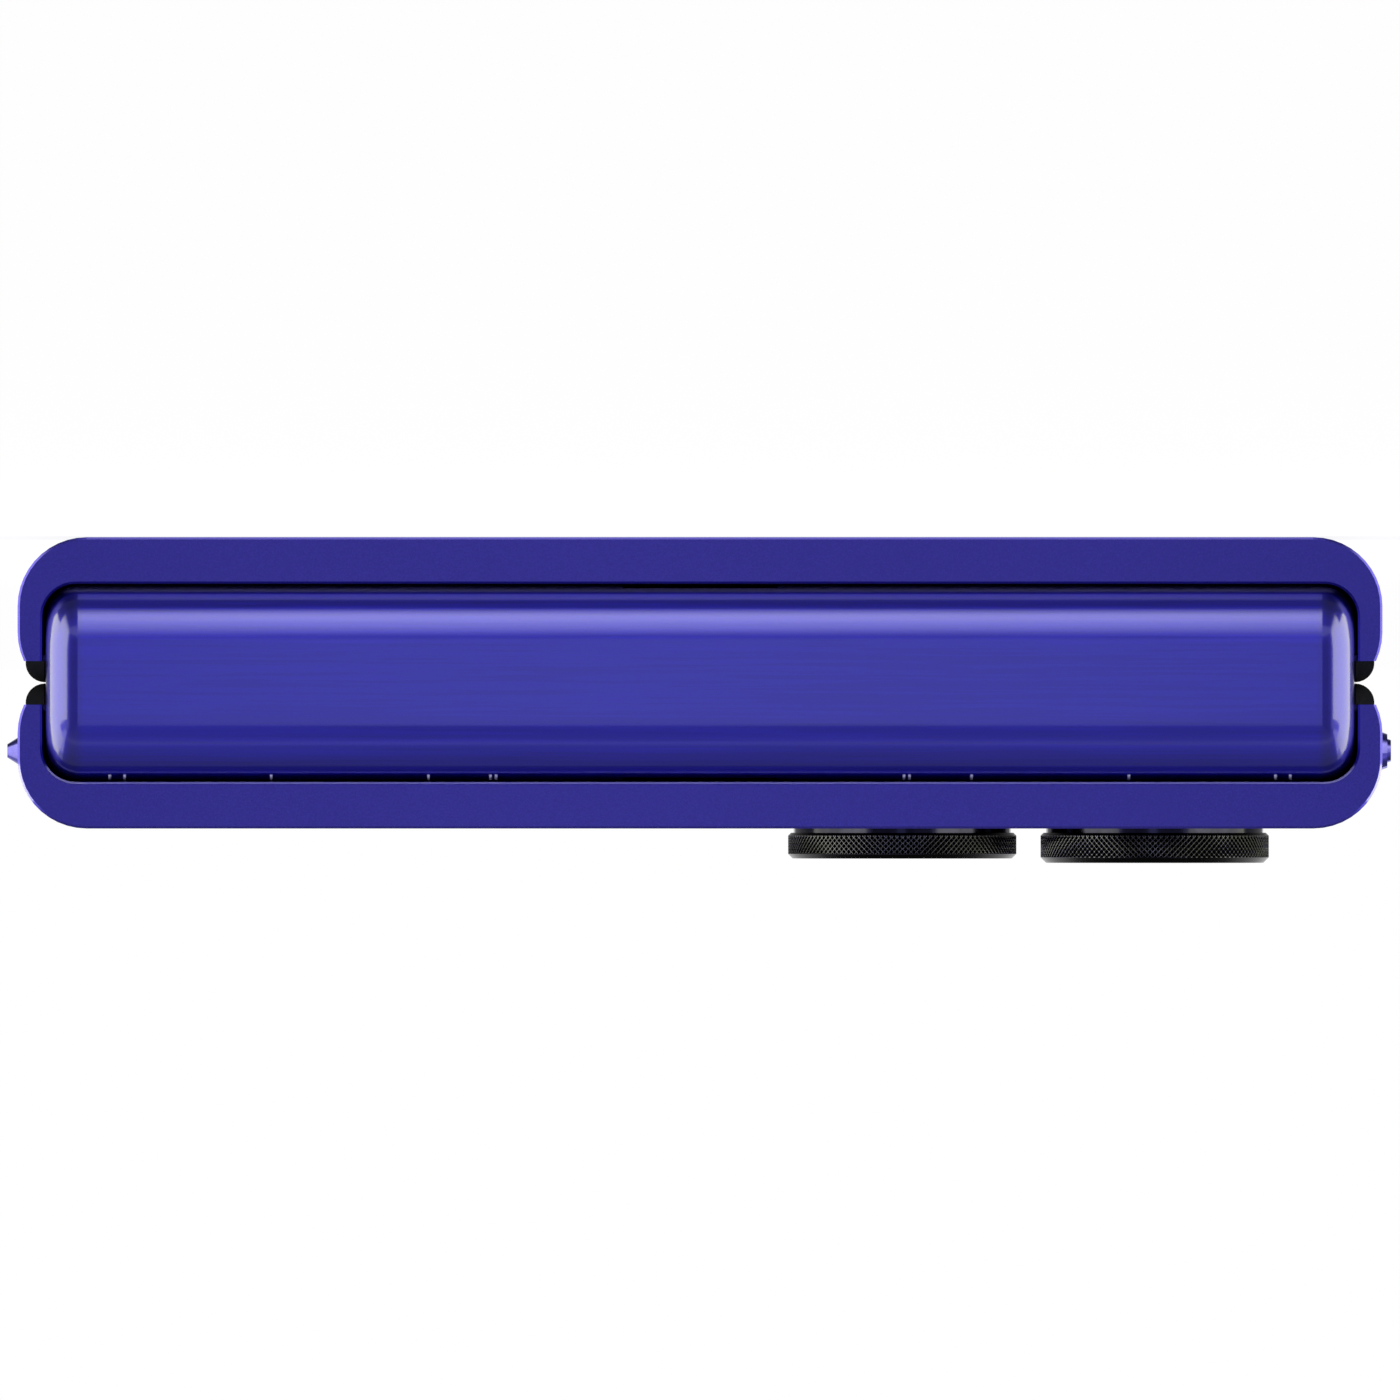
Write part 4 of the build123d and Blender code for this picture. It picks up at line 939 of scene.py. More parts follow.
@dataclass(frozen=True)
class WovenMesh(Finish):
    """Fine metal cloth behind an opening.

    Attributes:
        wires: Turns of the weave to a metre, as an angle.
    """

    wires: float = 42000.0

    def paint(self, graph: Graph) -> None:
        """Weave wires over and under each other on a square net.

        Args:
            graph: The material's nodes.
        """
        across, along, up = graph.axes(graph.place())
        warp = ((across + along) * self.wires).wave()
        weft = ((up - along) * self.wires).wave()
        cloth = warp * 0.5 + weft * 0.5
        graph.surface(
            base_color=graph.mix(cloth.between(0.35, 0.75), (0.004,) * 3, (0.09, 0.09, 0.1)),
            metallic=0.8,
            roughness=cloth.spread(0.6, 0.35),
            normal=graph.bump(cloth, 20.0),
        )


@dataclass(frozen=True)
class FlashLens(Finish):
    """Clear moulded lens over a yellow lamp chip."""

    centre: tuple[float, float] = (0.0, 0.0)

    def paint(self, graph: Graph) -> None:
        """Colour the middle like the chip below and cloud the rest.

        Args:
            graph: The material's nodes.
        """
        out = graph.radius(self.centre)
        haze = graph.noise(1500, 3.0)
        chip = 1 - out.between(0.55, 0.85)
        clear = graph.mix(haze, (0.62, 0.6, 0.55), (0.78, 0.77, 0.72))
        graph.surface(
            base_color=graph.mix(chip, clear, (0.8, 0.68, 0.16)),
            roughness=haze.spread(0.1, 0.2),
            coat_weight=0.7,
        )


PURPLE: Colour = (0.038, 0.031, 0.370)
SPINE_PURPLE: Colour = (0.007, 0.004, 0.52)

FRAME_METAL = AnodisedMetal("anodised_frame", "frame_metal", PURPLE)
# The front frame has a painted highlight line along its hinge-end edge.
FRONT_METAL = EdgeGlintMetal("edge_glint_frame", "frame_metal", PURPLE)
KEY_METAL = AnodisedMetal("milled_keys", "frame_metal", PURPLE, 0.2, Wear.MILLED, 0.6, 0.6)
SPINE_METAL = SpineMetal(
    "brushed_spine", "spine_metal", SPINE_PURPLE, 0.36, Wear.BRUSHED, 1.0, 1.6
)
BAND_PLASTIC = MouldedPlastic("filled_bands", "band_plastic", (0.032, 0.025, 0.2), 0.42)
RIM_RUBBER = Elastomer("soft_rim", "rim_soft")
BACK_GLASS = EtchedGlass("etched_back", "cover_glass")
FRONT_GLASS = BlackGlass("black_glass", "front_glass")
SCREEN_SKIN = BlackGlass("screen_skin", "screen", (0.005, 0.005, 0.008), 0.09)
DARK_PLASTIC = MouldedPlastic("black_plastic", "dark_plastic")
PLAIN_STEEL = Steel("drawn_steel", "steel")
CELL_FOIL = CellFoil("cell_foil", "battery")
BOARD_MASK = SolderMask("solder_mask", "board")
COIL_WIRE = WoundCopper("coil_wire", "coil", (0.0, -4.0))
FLEX_FILM = FlexFilm("flex_film", "flex")
GILDING = Steel("gilded_contacts", "steel", (0.85, 0.6, 0.25), (6000, 300, 6000), 0.2)
GRILLE_CLOTH = WovenMesh("grille_cloth", "dark_plastic")
LENS_WINDOW = ClearWindow("lens_window", "lens_glass")


def dress_nodes(finish: Finish, *names: str) -> None:
    """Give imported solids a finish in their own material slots.

    Args:
        finish: The finish.
        *names: The solids' names.
    """
    for name in names:
        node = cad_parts[name]
        if not node.material_slots:
            node.data.materials.append(finish.material())
        for slot in node.material_slots:
            slot.material = finish.material()


def dress_piece(piece: bpy.types.Object, finish: Finish) -> None:
    """Give a new piece a finish."""
    piece.data.materials.append(finish.material())


# ---------------------------------------------------------------- the phone
@dataclass
class FoldingStrip:
    """A sheet that crosses both fold axes, made as two halves that meet in the middle.

    Open, the sheet lies flat. Shut, each of its points has turned back about its fold axis
    by its own share of the quarter turn, so the sheet closes into a loop.

    Attributes:
        name: Start of both pieces' names.
        replaced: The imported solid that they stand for.
        finish: Their finish.
        half_width: Half of the sheet's width along X.
        reach: How far the open sheet runs from the fold axis toward the far end.
        top: Height of its upper face above the fold axis, open.
        bottom: Height of its lower face.
        start: Place along Y and Z, from the axis, where the bend begins, shut.
        end: Place where the bend ends, shut.
        across: Points over the width.
        along: Points over the length of one half.
    """

    name: str
    replaced: str
    finish: Finish
    half_width: float
    reach: float
    top: float
    bottom: float
    start: tuple[float, float]
    end: tuple[float, float]
    across: int = 13
    along: int = 72

    def folded(self, u: np.ndarray, h: np.ndarray) -> tuple[np.ndarray, np.ndarray]:
        """Find where points of the open sheet lie when the phone is shut.

        A point (u, h) from the axis turns back by the angle a = 90 degrees * ease(t), to
        (u cos a + h sin a, h cos a - u sin a). Its share t is how far that place lies from
        start toward end, so t is found by halving.

        Args:
            u: Distance from the fold axis toward the far end, open.
            h: Height above the fold axis, open.

        Returns:
            The same two distances, shut.
        """
        start, end = np.array(self.start), np.array(self.end)
        direction = (end - start) / np.dot(end - start, end - start)
        low, high = np.zeros_like(u), np.ones_like(u)
        for _ in range(HALVINGS):
            share = (low + high) / 2
            angle = ease(share) * math.pi / 2
            y = u * np.cos(angle) + h * np.sin(angle)
            z = h * np.cos(angle) - u * np.sin(angle)
            ahead = (y - start[0]) * direction[0] + (z - start[1]) * direction[1] > share
            low, high = np.where(ahead, share, low), np.where(ahead, high, share)
        return y, z

    def sheet(self, height: float) -> np.ndarray:
        """Work out the base side of the sheet, shut.

        Args:
            height: Height above the fold axis, open.

        Returns:
            Grid of points along the sheet by points across it.
        """
        u = np.linspace(self.reach, -AXIS_DROP, self.along)
        y, z = self.folded(u, np.full_like(u, height))
        x = np.linspace(-self.half_width, self.half_width, self.across)
        line = np.stack([np.zeros_like(y), y + AXIS_Y, z + BASE_AXIS_Z], axis=1)
        grid = np.repeat(line[:, None, :], self.across, axis=1)
        grid[..., 0] = x
        return grid

    def build(self) -> list[bpy.types.Object]:
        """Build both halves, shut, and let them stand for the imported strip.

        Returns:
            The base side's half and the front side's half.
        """
        pieces = []
        patches = shell(self.sheet(self.top), self.sheet(self.bottom))
        place = [Vector((0, AXIS_Y + y, BASE_AXIS_Z + z)) * MM for y, z in (self.start, self.end)]
        base_side = make_piece(f"{self.name}_base_side", patches)
        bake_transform(base_side)
        pieces.append(base_side)
        for patch in patches:
            patch.points[..., 2] = 2 * FOLD_Z - patch.points[..., 2]
        front_side = make_piece(f"{self.name}_front_side", patches)
        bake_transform(front_side)
        pieces.append(front_side)
        for piece in pieces:
            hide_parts(self.replaced)
            dress_piece(piece, self.finish)
        return pieces


@dataclass
class CameraGroup:
    """One camera: its knurled ring, bright neck, lens barrel and front element.

    Attributes:
        name: Start of the pieces' names.
        centre: Where the camera's axis stands in XY.
        stand: How far the ring stands over the glass.
        chamfer: Bevel of the ring's upper edge.
        body: The body that the barrel and the element ride on.
        barrel_top: Level of the barrel's upper end.
        barrel_bottom: Level of its lower end.
        replaced_barrel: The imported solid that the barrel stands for.
        block: Side of the square housing round the barrel, or 0 for none.
        block_drop: How far the housing's top lies under the glass.
    """

    name: str
    centre: tuple[float, float]
    stand: float
    chamfer: float
    body: str
    barrel_top: float
    barrel_bottom: float
    replaced_barrel: str
    block: float = 0.0
    block_drop: float = 1.45
    # The ring's section
    ring_radius: float = 6.32
    neck_radius: float = 6.02
    neck_height: float = 0.38
    sleeve: float = 0.05
    bore: float = 4.60
    seat: float = 4.95
    seat_depth: float = 0.75
    seat_edge: float = 0.12
    tube: float = 5.20
    flange: float = 5.70
    flange_height: float = 0.30
    cover: float = 0.70
    corner: float = 0.16
    # The knurl. A ridge is a share of a turn of the pattern.
    land: float = 0.04
    knurl_depth: float = 0.11
    knurl_count: int = 128
    facets: int = 9
    ridge: float = 0.05
    # The barrel, its light trap and the element
    barrel_radius: float = 3.40
    barrel_edge: float = 0.1
    mouth: float = 3.0
    throat: float = 1.9
    trap_depth: float = 1.5
    trap_steps: int = 7
    lip: float = 0.12
    dome_rise: float = 0.55
    dome_base: float = 0.06
    element_gap: float = 0.02

    def knurl(self) -> Patch:
        """Press a diamond knurl into the ring's edge.

        Two sets of flat-topped ridges wind up the edge, one each way. With a and b the
        distances of count * turn + height / pitch and count * turn - height / pitch from
        their nearest whole numbers, and d the smaller of them, the pits between the ridges
        go in by depth * (d - ridge) / (0.5 - ridge), with plain lands above and below and a
        small bevel at the lower corner.

        Returns:
            The edge's surface.
        """
        low = THICKNESS + self.neck_height
        high = THICKNESS + self.stand - self.chamfer
        segments = self.knurl_count * self.facets
        pitch = 2 * math.pi * self.ring_radius / self.knurl_count
        start = low + self.corner + self.land
        rows = int(round((high - self.land - start) / pitch * self.facets)) + 1
        inside = np.linspace(start, high - self.land, rows)
        levels = np.concatenate([[low, low + self.corner], inside, [high]])
        turn = np.arange(segments) / segments
        up, round_ = np.meshgrid(levels, turn, indexing="ij")
        lines = (round_ * self.knurl_count + up / pitch, round_ * self.knurl_count - up / pitch)
        away = np.minimum(*(np.abs(line - np.round(line)) for line in lines))
        cut = np.clip((away - self.ridge) / (0.5 - self.ridge), 0, 1)
        cut[[0, 1, -1]] = 0.0
        radius = self.ring_radius - self.knurl_depth * cut
        radius[0] -= self.corner
        angle = 2 * math.pi * round_
        across = self.centre[0] + radius * np.cos(angle)
        along = self.centre[1] + radius * np.sin(angle)
        return Patch(np.stack([across, along, up], axis=2), wrap=True)

    def ring(self) -> bpy.types.Object:
        """Build the ring: the knurled edge and the turned rest of its section.

        Returns:
            The ring.
        """
        top = THICKNESS + self.stand
        seat_level = top - self.seat_depth
        low = THICKNESS - self.cover
        neck_top = THICKNESS + self.neck_height
        profile = [
            (self.ring_radius, top - self.chamfer),
            (self.ring_radius - self.chamfer, top),
            (self.seat + self.seat_edge, top),
            (self.seat, top - self.seat_edge),
            (self.seat, seat_level),
            (self.bore, seat_level),
            (self.bore, low - self.flange_height),
            (self.flange, low - self.flange_height),
            (self.flange, low),
            (self.tube, low),
            (self.tube, THICKNESS),
            (self.neck_radius - self.sleeve, THICKNESS),
            (self.neck_radius - self.sleeve, neck_top),
            (self.ring_radius - self.corner, neck_top),
        ]
        rest = turned(profile, (*self.centre, 0.0), self.knurl_count * self.facets)
        piece = make_piece(f"{self.name}_ring_knurled", [self.knurl(), rest], 20.0)
        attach(piece, "front")
        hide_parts(f"{self.name}_camera_ring")
        finish_name = f"{self.name}_ring_black"
        # The knurl's ridge tops at ring_radius get a painted highlight.
        dress_piece(piece, TurnedBlack(
            finish_name, "ring_metal", self.centre, 0.004, 0.24, self.ring_radius
        ))
        return piece

    def neck(self) -> bpy.types.Object:
        """Build the polished sleeve between the glass and the ring.

        Returns:
            The sleeve.
        """
        outer, inner = self.neck_radius, self.neck_radius - self.sleeve
        low, high = THICKNESS, THICKNESS + self.neck_height
        profile = [(outer, low), (outer, high), (inner, high), (inner, low), (outer, low)]
        piece = make_piece(
            f"{self.name}_ring_neck", [turned(profile, (*self.centre, 0.0), 192)]
        )
        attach(piece, "front")
        finish_name = f"{self.name}_neck_polish"
        dress_piece(piece, TurnedBlack(
            finish_name, "ring_metal", self.centre, 0.018, 0.14, cool=2.0
        ))
        return piece

    def barrel(self) -> bpy.types.Object:
        """Build the barrel with its stepped light trap and, below it, the square housing.

        The trap's steps go down and in by equal shares.

        Returns:
            The barrel.
        """
        top, bottom, wall = self.barrel_top, self.barrel_bottom, self.barrel_radius
        climb = self.trap_depth - self.lip
        trap = []
        for step in range(self.trap_steps):
            share = step / self.trap_steps
            radius = self.mouth + (self.throat - self.mouth) * share
            level = top - self.lip - climb * share
            trap += [(radius, level), (radius, level - climb / self.trap_steps)]
        profile = [(0.0, bottom), (wall, bottom), (wall, top - self.barrel_edge)]
        profile += [(wall - self.barrel_edge, top), (self.mouth + self.lip, top), *trap]
        profile.append((0.0, top - self.trap_depth))
        patches = [turned(profile, (*self.centre, 0.0), 128)]
        if self.block:
            block_top = THICKNESS - self.block_drop
            middle = np.array([(*self.centre, (bottom + block_top) / 2)])
            patches += bars(middle, (self.block, self.block, block_top - bottom))
        barrel = make_piece(f"{self.name}_lens_stack", patches)
        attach(barrel, self.body)
        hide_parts(self.replaced_barrel)
        finish_name = f"{self.name}_barrel_black"
        dress_piece(barrel, TurnedBlack(finish_name, "dark_plastic", self.centre, 0.012))
        return barrel

    def element(self) -> bpy.types.Object:
        """Build the front element. Its dome is the arc z = rise * (1 - (r / throat)^2).

        Returns:
            The element.
        """
        floor = self.barrel_top - self.trap_depth
        edge = self.throat - self.element_gap
        arc = [
            (float(r), floor + self.dome_base + self.dome_rise * (1 - (r / self.throat) ** 2))
            for r in np.linspace(0, edge, 16)
        ]
        level = floor + self.element_gap / 2
        profile = [*arc, (edge, level), (0.0, level)]
        glass = make_piece(
            f"{self.name}_front_element", [turned(profile, (*self.centre, 0.0), 96)]
        )
        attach(glass, self.body)
        finish_name = f"{self.name}_element_coating"
        dress_piece(glass, CoatedElement(finish_name, "lens_glass", self.centre))
        return glass

    def build(self) -> list[bpy.types.Object]:
        """Build every piece of the camera."""
        return [self.ring(), self.neck(), self.barrel(), self.element()]


@dataclass
class Flash:
    """The flash lamp's moulded lens, with rings that gather its light."""

    centre: tuple[float, float] = (1.10, 31.70)
    radius: float = 1.90
    clearance: float = 0.03
    height: float = 0.90
    sink: float = 0.04
    dome: float = 0.55
    dome_arc: tuple[tuple[float, float], ...] = ((0.0, 0.02), (0.3, 0.035))
    rings: int = 5
    tooth_face: float = 0.02
    valley: float = 0.1
    crest: float = 0.03
    border: float = 0.22

    def build(self) -> list[bpy.types.Object]:
        """Build the lens.

        From the middle out, it has a small dome and then rings of saw teeth. Each tooth
        rises steeply from the valley to the crest and slopes back over its width.

        Returns:
            The lens alone, in a list.
        """
        top = THICKNESS - self.sink
        bottom = THICKNESS - self.height
        valley, crest = top - self.valley, top - self.crest
        profile = [(radius, top - drop) for radius, drop in self.dome_arc]
        profile.append((self.dome, valley))
        width = (self.radius - self.border - self.clearance - self.dome) / self.rings
        for ring in range(self.rings):
            start = self.dome + ring * width
            profile += [(start + self.tooth_face, crest), (start + width, valley)]
        edge = self.radius - self.clearance
        profile += [(self.radius - self.border, top), (edge, top), (edge, bottom), (0.0, bottom)]
        patch = turned(profile, (*self.centre, 0.0), 96)
        piece = make_piece("flash_ring_lens", [patch], 15.0)
        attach(piece, "front")
        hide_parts("flash_lens")
        dress_piece(piece, FlashLens("flash_moulding", "flash_plastic", self.centre))
        return [piece]


def dished(radius: float, rise: float, points: int) -> list[tuple[float, float]]:
    """Work out the profile of a shallow dish, height = -rise * (1 - (r / radius)^2).

    Args:
        radius: Radius of the dish.
        rise: How deep its middle lies under its edge.
        points: Points from the middle to the edge.

    Returns:
        Radius and height of each point.
    """
    reach = np.linspace(0, radius, points)
    return [(float(r), float(-rise * (1 - (r / radius) ** 2))) for r in reach]


@dataclass
class Ports:
    """What shows in the openings: contacts, metal cloth and the inner camera's glass."""

    usb_level: float = 4.10
    tongue_front: float = 41.15
    tongue_height: float = 0.70
    contact_count: int = 12
    contact_pitch: float = 0.50
    contact: tuple[float, float, float] = (0.26, 2.4, 0.04)
    contact_inset: float = 0.3
    speaker_count: int = 6
    speaker_pitch: float = 2.2
    speaker_middle: tuple[float, float] = (-22.5, 3.90)
    hole_radius: float = 0.53
    cloth_depth: float = 0.7
    cloth_dish: float = 0.06
    cloth_back: float = 0.16
    ear_middle: tuple[float, float, float] = (0.0, 42.1, 8.75)
    ear_slot: tuple[float, float, float] = (8.9, 0.44, 0.1)
    selfie: tuple[float, float, float] = (0.0, 37.85, 8.50)
    selfie_radius: float = 1.1
    selfie_dish: float = 0.04

    def usb_contacts(self) -> bpy.types.Object:
        """Lay a row of gilded contacts on each face of the socket's tongue.

        Returns:
            Both rows, as one piece.
        """
        _, length, thickness = self.contact
        row = (np.arange(self.contact_count) - (self.contact_count - 1) / 2) * self.contact_pitch
        y = np.full_like(row, self.tongue_front - self.contact_inset - length / 2)
        patches: list[Patch] = []
        for side in (-1, 1):
            z = self.usb_level + side * (self.tongue_height + thickness) / 2
            patches += bars(np.stack([row, y, np.full_like(row, z)], axis=1), self.contact)
        piece = make_piece("usb_contacts", patches)
        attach(piece, "base")
        dress_piece(piece, GILDING)
        return piece

    def grilles(self) -> list[bpy.types.Object]:
        """Set dished discs of metal cloth into the speaker holes and a strip into the slot.

        Returns:
            The speaker's cloth and the earpiece's cloth.
        """
        middle, level = self.speaker_middle
        face = dished(self.hole_radius, self.cloth_dish, 7)
        back = [(self.hole_radius, -2 * self.cloth_dish), (0.0, -self.cloth_back)]
        patches = []
        for index in range(self.speaker_count):
            x = middle + (index - (self.speaker_count - 1) / 2) * self.speaker_pitch
            place = (x, FAR_Y - self.cloth_depth, level)
            patches.append(turned([*face, *back], place, 40, Turn.ALONG))
        speaker = make_piece("speaker_cloth", patches)
        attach(speaker, "base")
        ear = make_piece("earpiece_cloth", bars(np.array([self.ear_middle]), self.ear_slot))
        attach(ear, "front")
        for piece in (speaker, ear):
            dress_piece(piece, GRILLE_CLOTH)
        return [speaker, ear]

    def selfie_glass(self) -> bpy.types.Object:
        """Set a small dished lens in front of the inner camera's nose.

        Returns:
            The lens.
        """
        back = 0.005
        face = dished(self.selfie_radius, self.selfie_dish, 12)
        profile = [*face, (self.selfie_radius, back), (0.0, back)]
        piece = make_piece("selfie_element", [turned(profile, self.selfie, 72)])
        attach(piece, "front")
        dress_piece(piece, CoatedElement("selfie_coating", "lens_glass", self.selfie[:2]))
        return piece

    def build(self) -> list[bpy.types.Object]:
        """Build what shows in every opening."""
        return [self.usb_contacts(), *self.grilles(), self.selfie_glass()]


@dataclass
class PackedSolids:
    """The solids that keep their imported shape, and the finish of each."""

    finishes: dict[Finish, tuple[str, ...]] = field(
        default_factory=lambda: {
            FRAME_METAL: ("base_frame", "sim_tray"),
            FRONT_METAL: ("front_frame",),
            SPINE_METAL: ("hinge_cover",),
            KEY_METAL: ("power_key", "volume_key", "side_key"),
            BAND_PLASTIC: ("base_antenna_bands", "front_antenna_bands"),
            RIM_RUBBER: ("base_rim", "front_rim"),
            BACK_GLASS: ("back_cover",),
            FRONT_GLASS: ("cover_glass",),
            SCREEN_SKIN: ("base_screen", "front_screen", "cover_screen", "fold_screen"),
            DARK_PLASTIC: (
                "loudspeaker", "fold_end_caps", "main_camera", "main_lens_barrel",
                "wide_camera", "selfie_camera", "earpiece", "key_switches",
                "main_camera_ring", "wide_camera_ring",
            ),
            PLAIN_STEEL: (
                "base_support_plate", "front_support_plate", "usb_socket", "haptic_motor",
                "microphone", "sim_reader", "base_hinge_arms", "front_hinge_arms",
                "base_arm_screws", "front_arm_screws", "hinge_cores", "core_screws",
                "hinge_shafts", "idler_pins", "base_idler_gears", "front_idler_gears",
                "friction_washers", "shield_can", "key_brackets", "flash_lens",
            ),
            CELL_FOIL: ("base_battery", "front_battery"),
            BOARD_MASK: ("sub_board", "main_board"),
            COIL_WIRE: ("charging_coil",),
            FLEX_FILM: ("hinge_flex",),
            LENS_WINDOW: ("camera_windows",),
        }
    )

    def dress(self) -> int:
        """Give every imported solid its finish.

        Returns:
            How many solids there are.
        """
        for finish, names in self.finishes.items():
            dress_nodes(finish, *names)
        return sum(len(names) for names in self.finishes.values())


# ---------------------------------------------------------------- the studio
@dataclass
class Softbox:
    """A rectangular lamp of even brightness, which the floor hides from the camera."""

    name: str
    place: tuple[float, float, float]
    aim: tuple[float, float, float]
    size: tuple[float, float]
    radiance: float

    def build(self) -> None:
        """Hang the lamp. Its power is radiance * pi * area."""
        lamp = bpy.data.lights.new(self.name, "AREA")
        lamp.shape = "RECTANGLE"
        lamp.size, lamp.size_y = self.size
        lamp.energy = self.radiance * math.pi * self.size[0] * self.size[1]
        holder = bpy.data.objects.new(self.name, lamp)
        bpy.context.scene.collection.objects.link(holder)
        holder.location = self.place
        look = Vector(self.aim) - Vector(self.place)
        holder.rotation_euler = look.to_track_quat("-Z", "Y").to_euler()
        holder.visible_camera = False


@dataclass
class Card:
    """A plain card that only polished surfaces see, to shape what they reflect.

    Attributes:
        name: Name of the card.
        start: One corner.
        end: The next corner round it.
        rise: Step from that edge to the opposite one.
        shade: Its brightness.
        tint: Its colour.
        axis: The axis that its brightness changes along, 0, 1 or 2.
        falloff: Places from 0 to 1 along that axis, each with a share of the brightness.
        strength: Brightness that the full value of a colour stands for.
    """

    name: str
    start: tuple[float, float, float]
    end: tuple[float, float, float]
    rise: tuple[float, float, float]
    shade: float
    tint: Colour = (1.0, 1.0, 1.0)
    axis: int = 1
    falloff: Sequence[tuple[float, float]] = ((0.0, 1.0), (1.0, 1.0))
    strength: float = 8.0

    def build(self) -> None:
        """Stand the card up with its glow."""
        start, end, rise = (Vector(part) for part in (self.start, self.end, self.rise))
        corners = (start, end, end + rise, start + rise)
        mesh = bpy.data.meshes.new(self.name)
        mesh.from_pydata(corners, [], [(0, 1, 2, 3)])
        card = bpy.data.objects.new(self.name, mesh)
        bpy.context.scene.collection.objects.link(card)
        material = bpy.data.materials.new(self.name)
        material.use_nodes = True
        graph = Graph(material.node_tree)
        reach = [corner[self.axis] for corner in corners]
        extent = max(max(reach) - min(reach), 1e-6)
        share = (graph.axes(graph.place())[self.axis] - min(reach)) * (1 / extent)
        stops = [
            (place, tuple(self.shade / self.strength * level * part for part in self.tint))
            for place, level in self.falloff
        ]
        colour = graph.node("ShaderNodeValToRGB", {"stops": stops}, {0: share})
        inputs = {"Color": colour, "Strength": self.strength}
        glow = graph.node("ShaderNodeEmission", None, inputs)
        graph.node("ShaderNodeOutputMaterial", None, {"Surface": glow})
        mesh.materials.append(material)
        for ray in ("camera", "diffuse", "transmission", "volume_scatter", "shadow"):
            setattr(card, f"visible_{ray}", False)


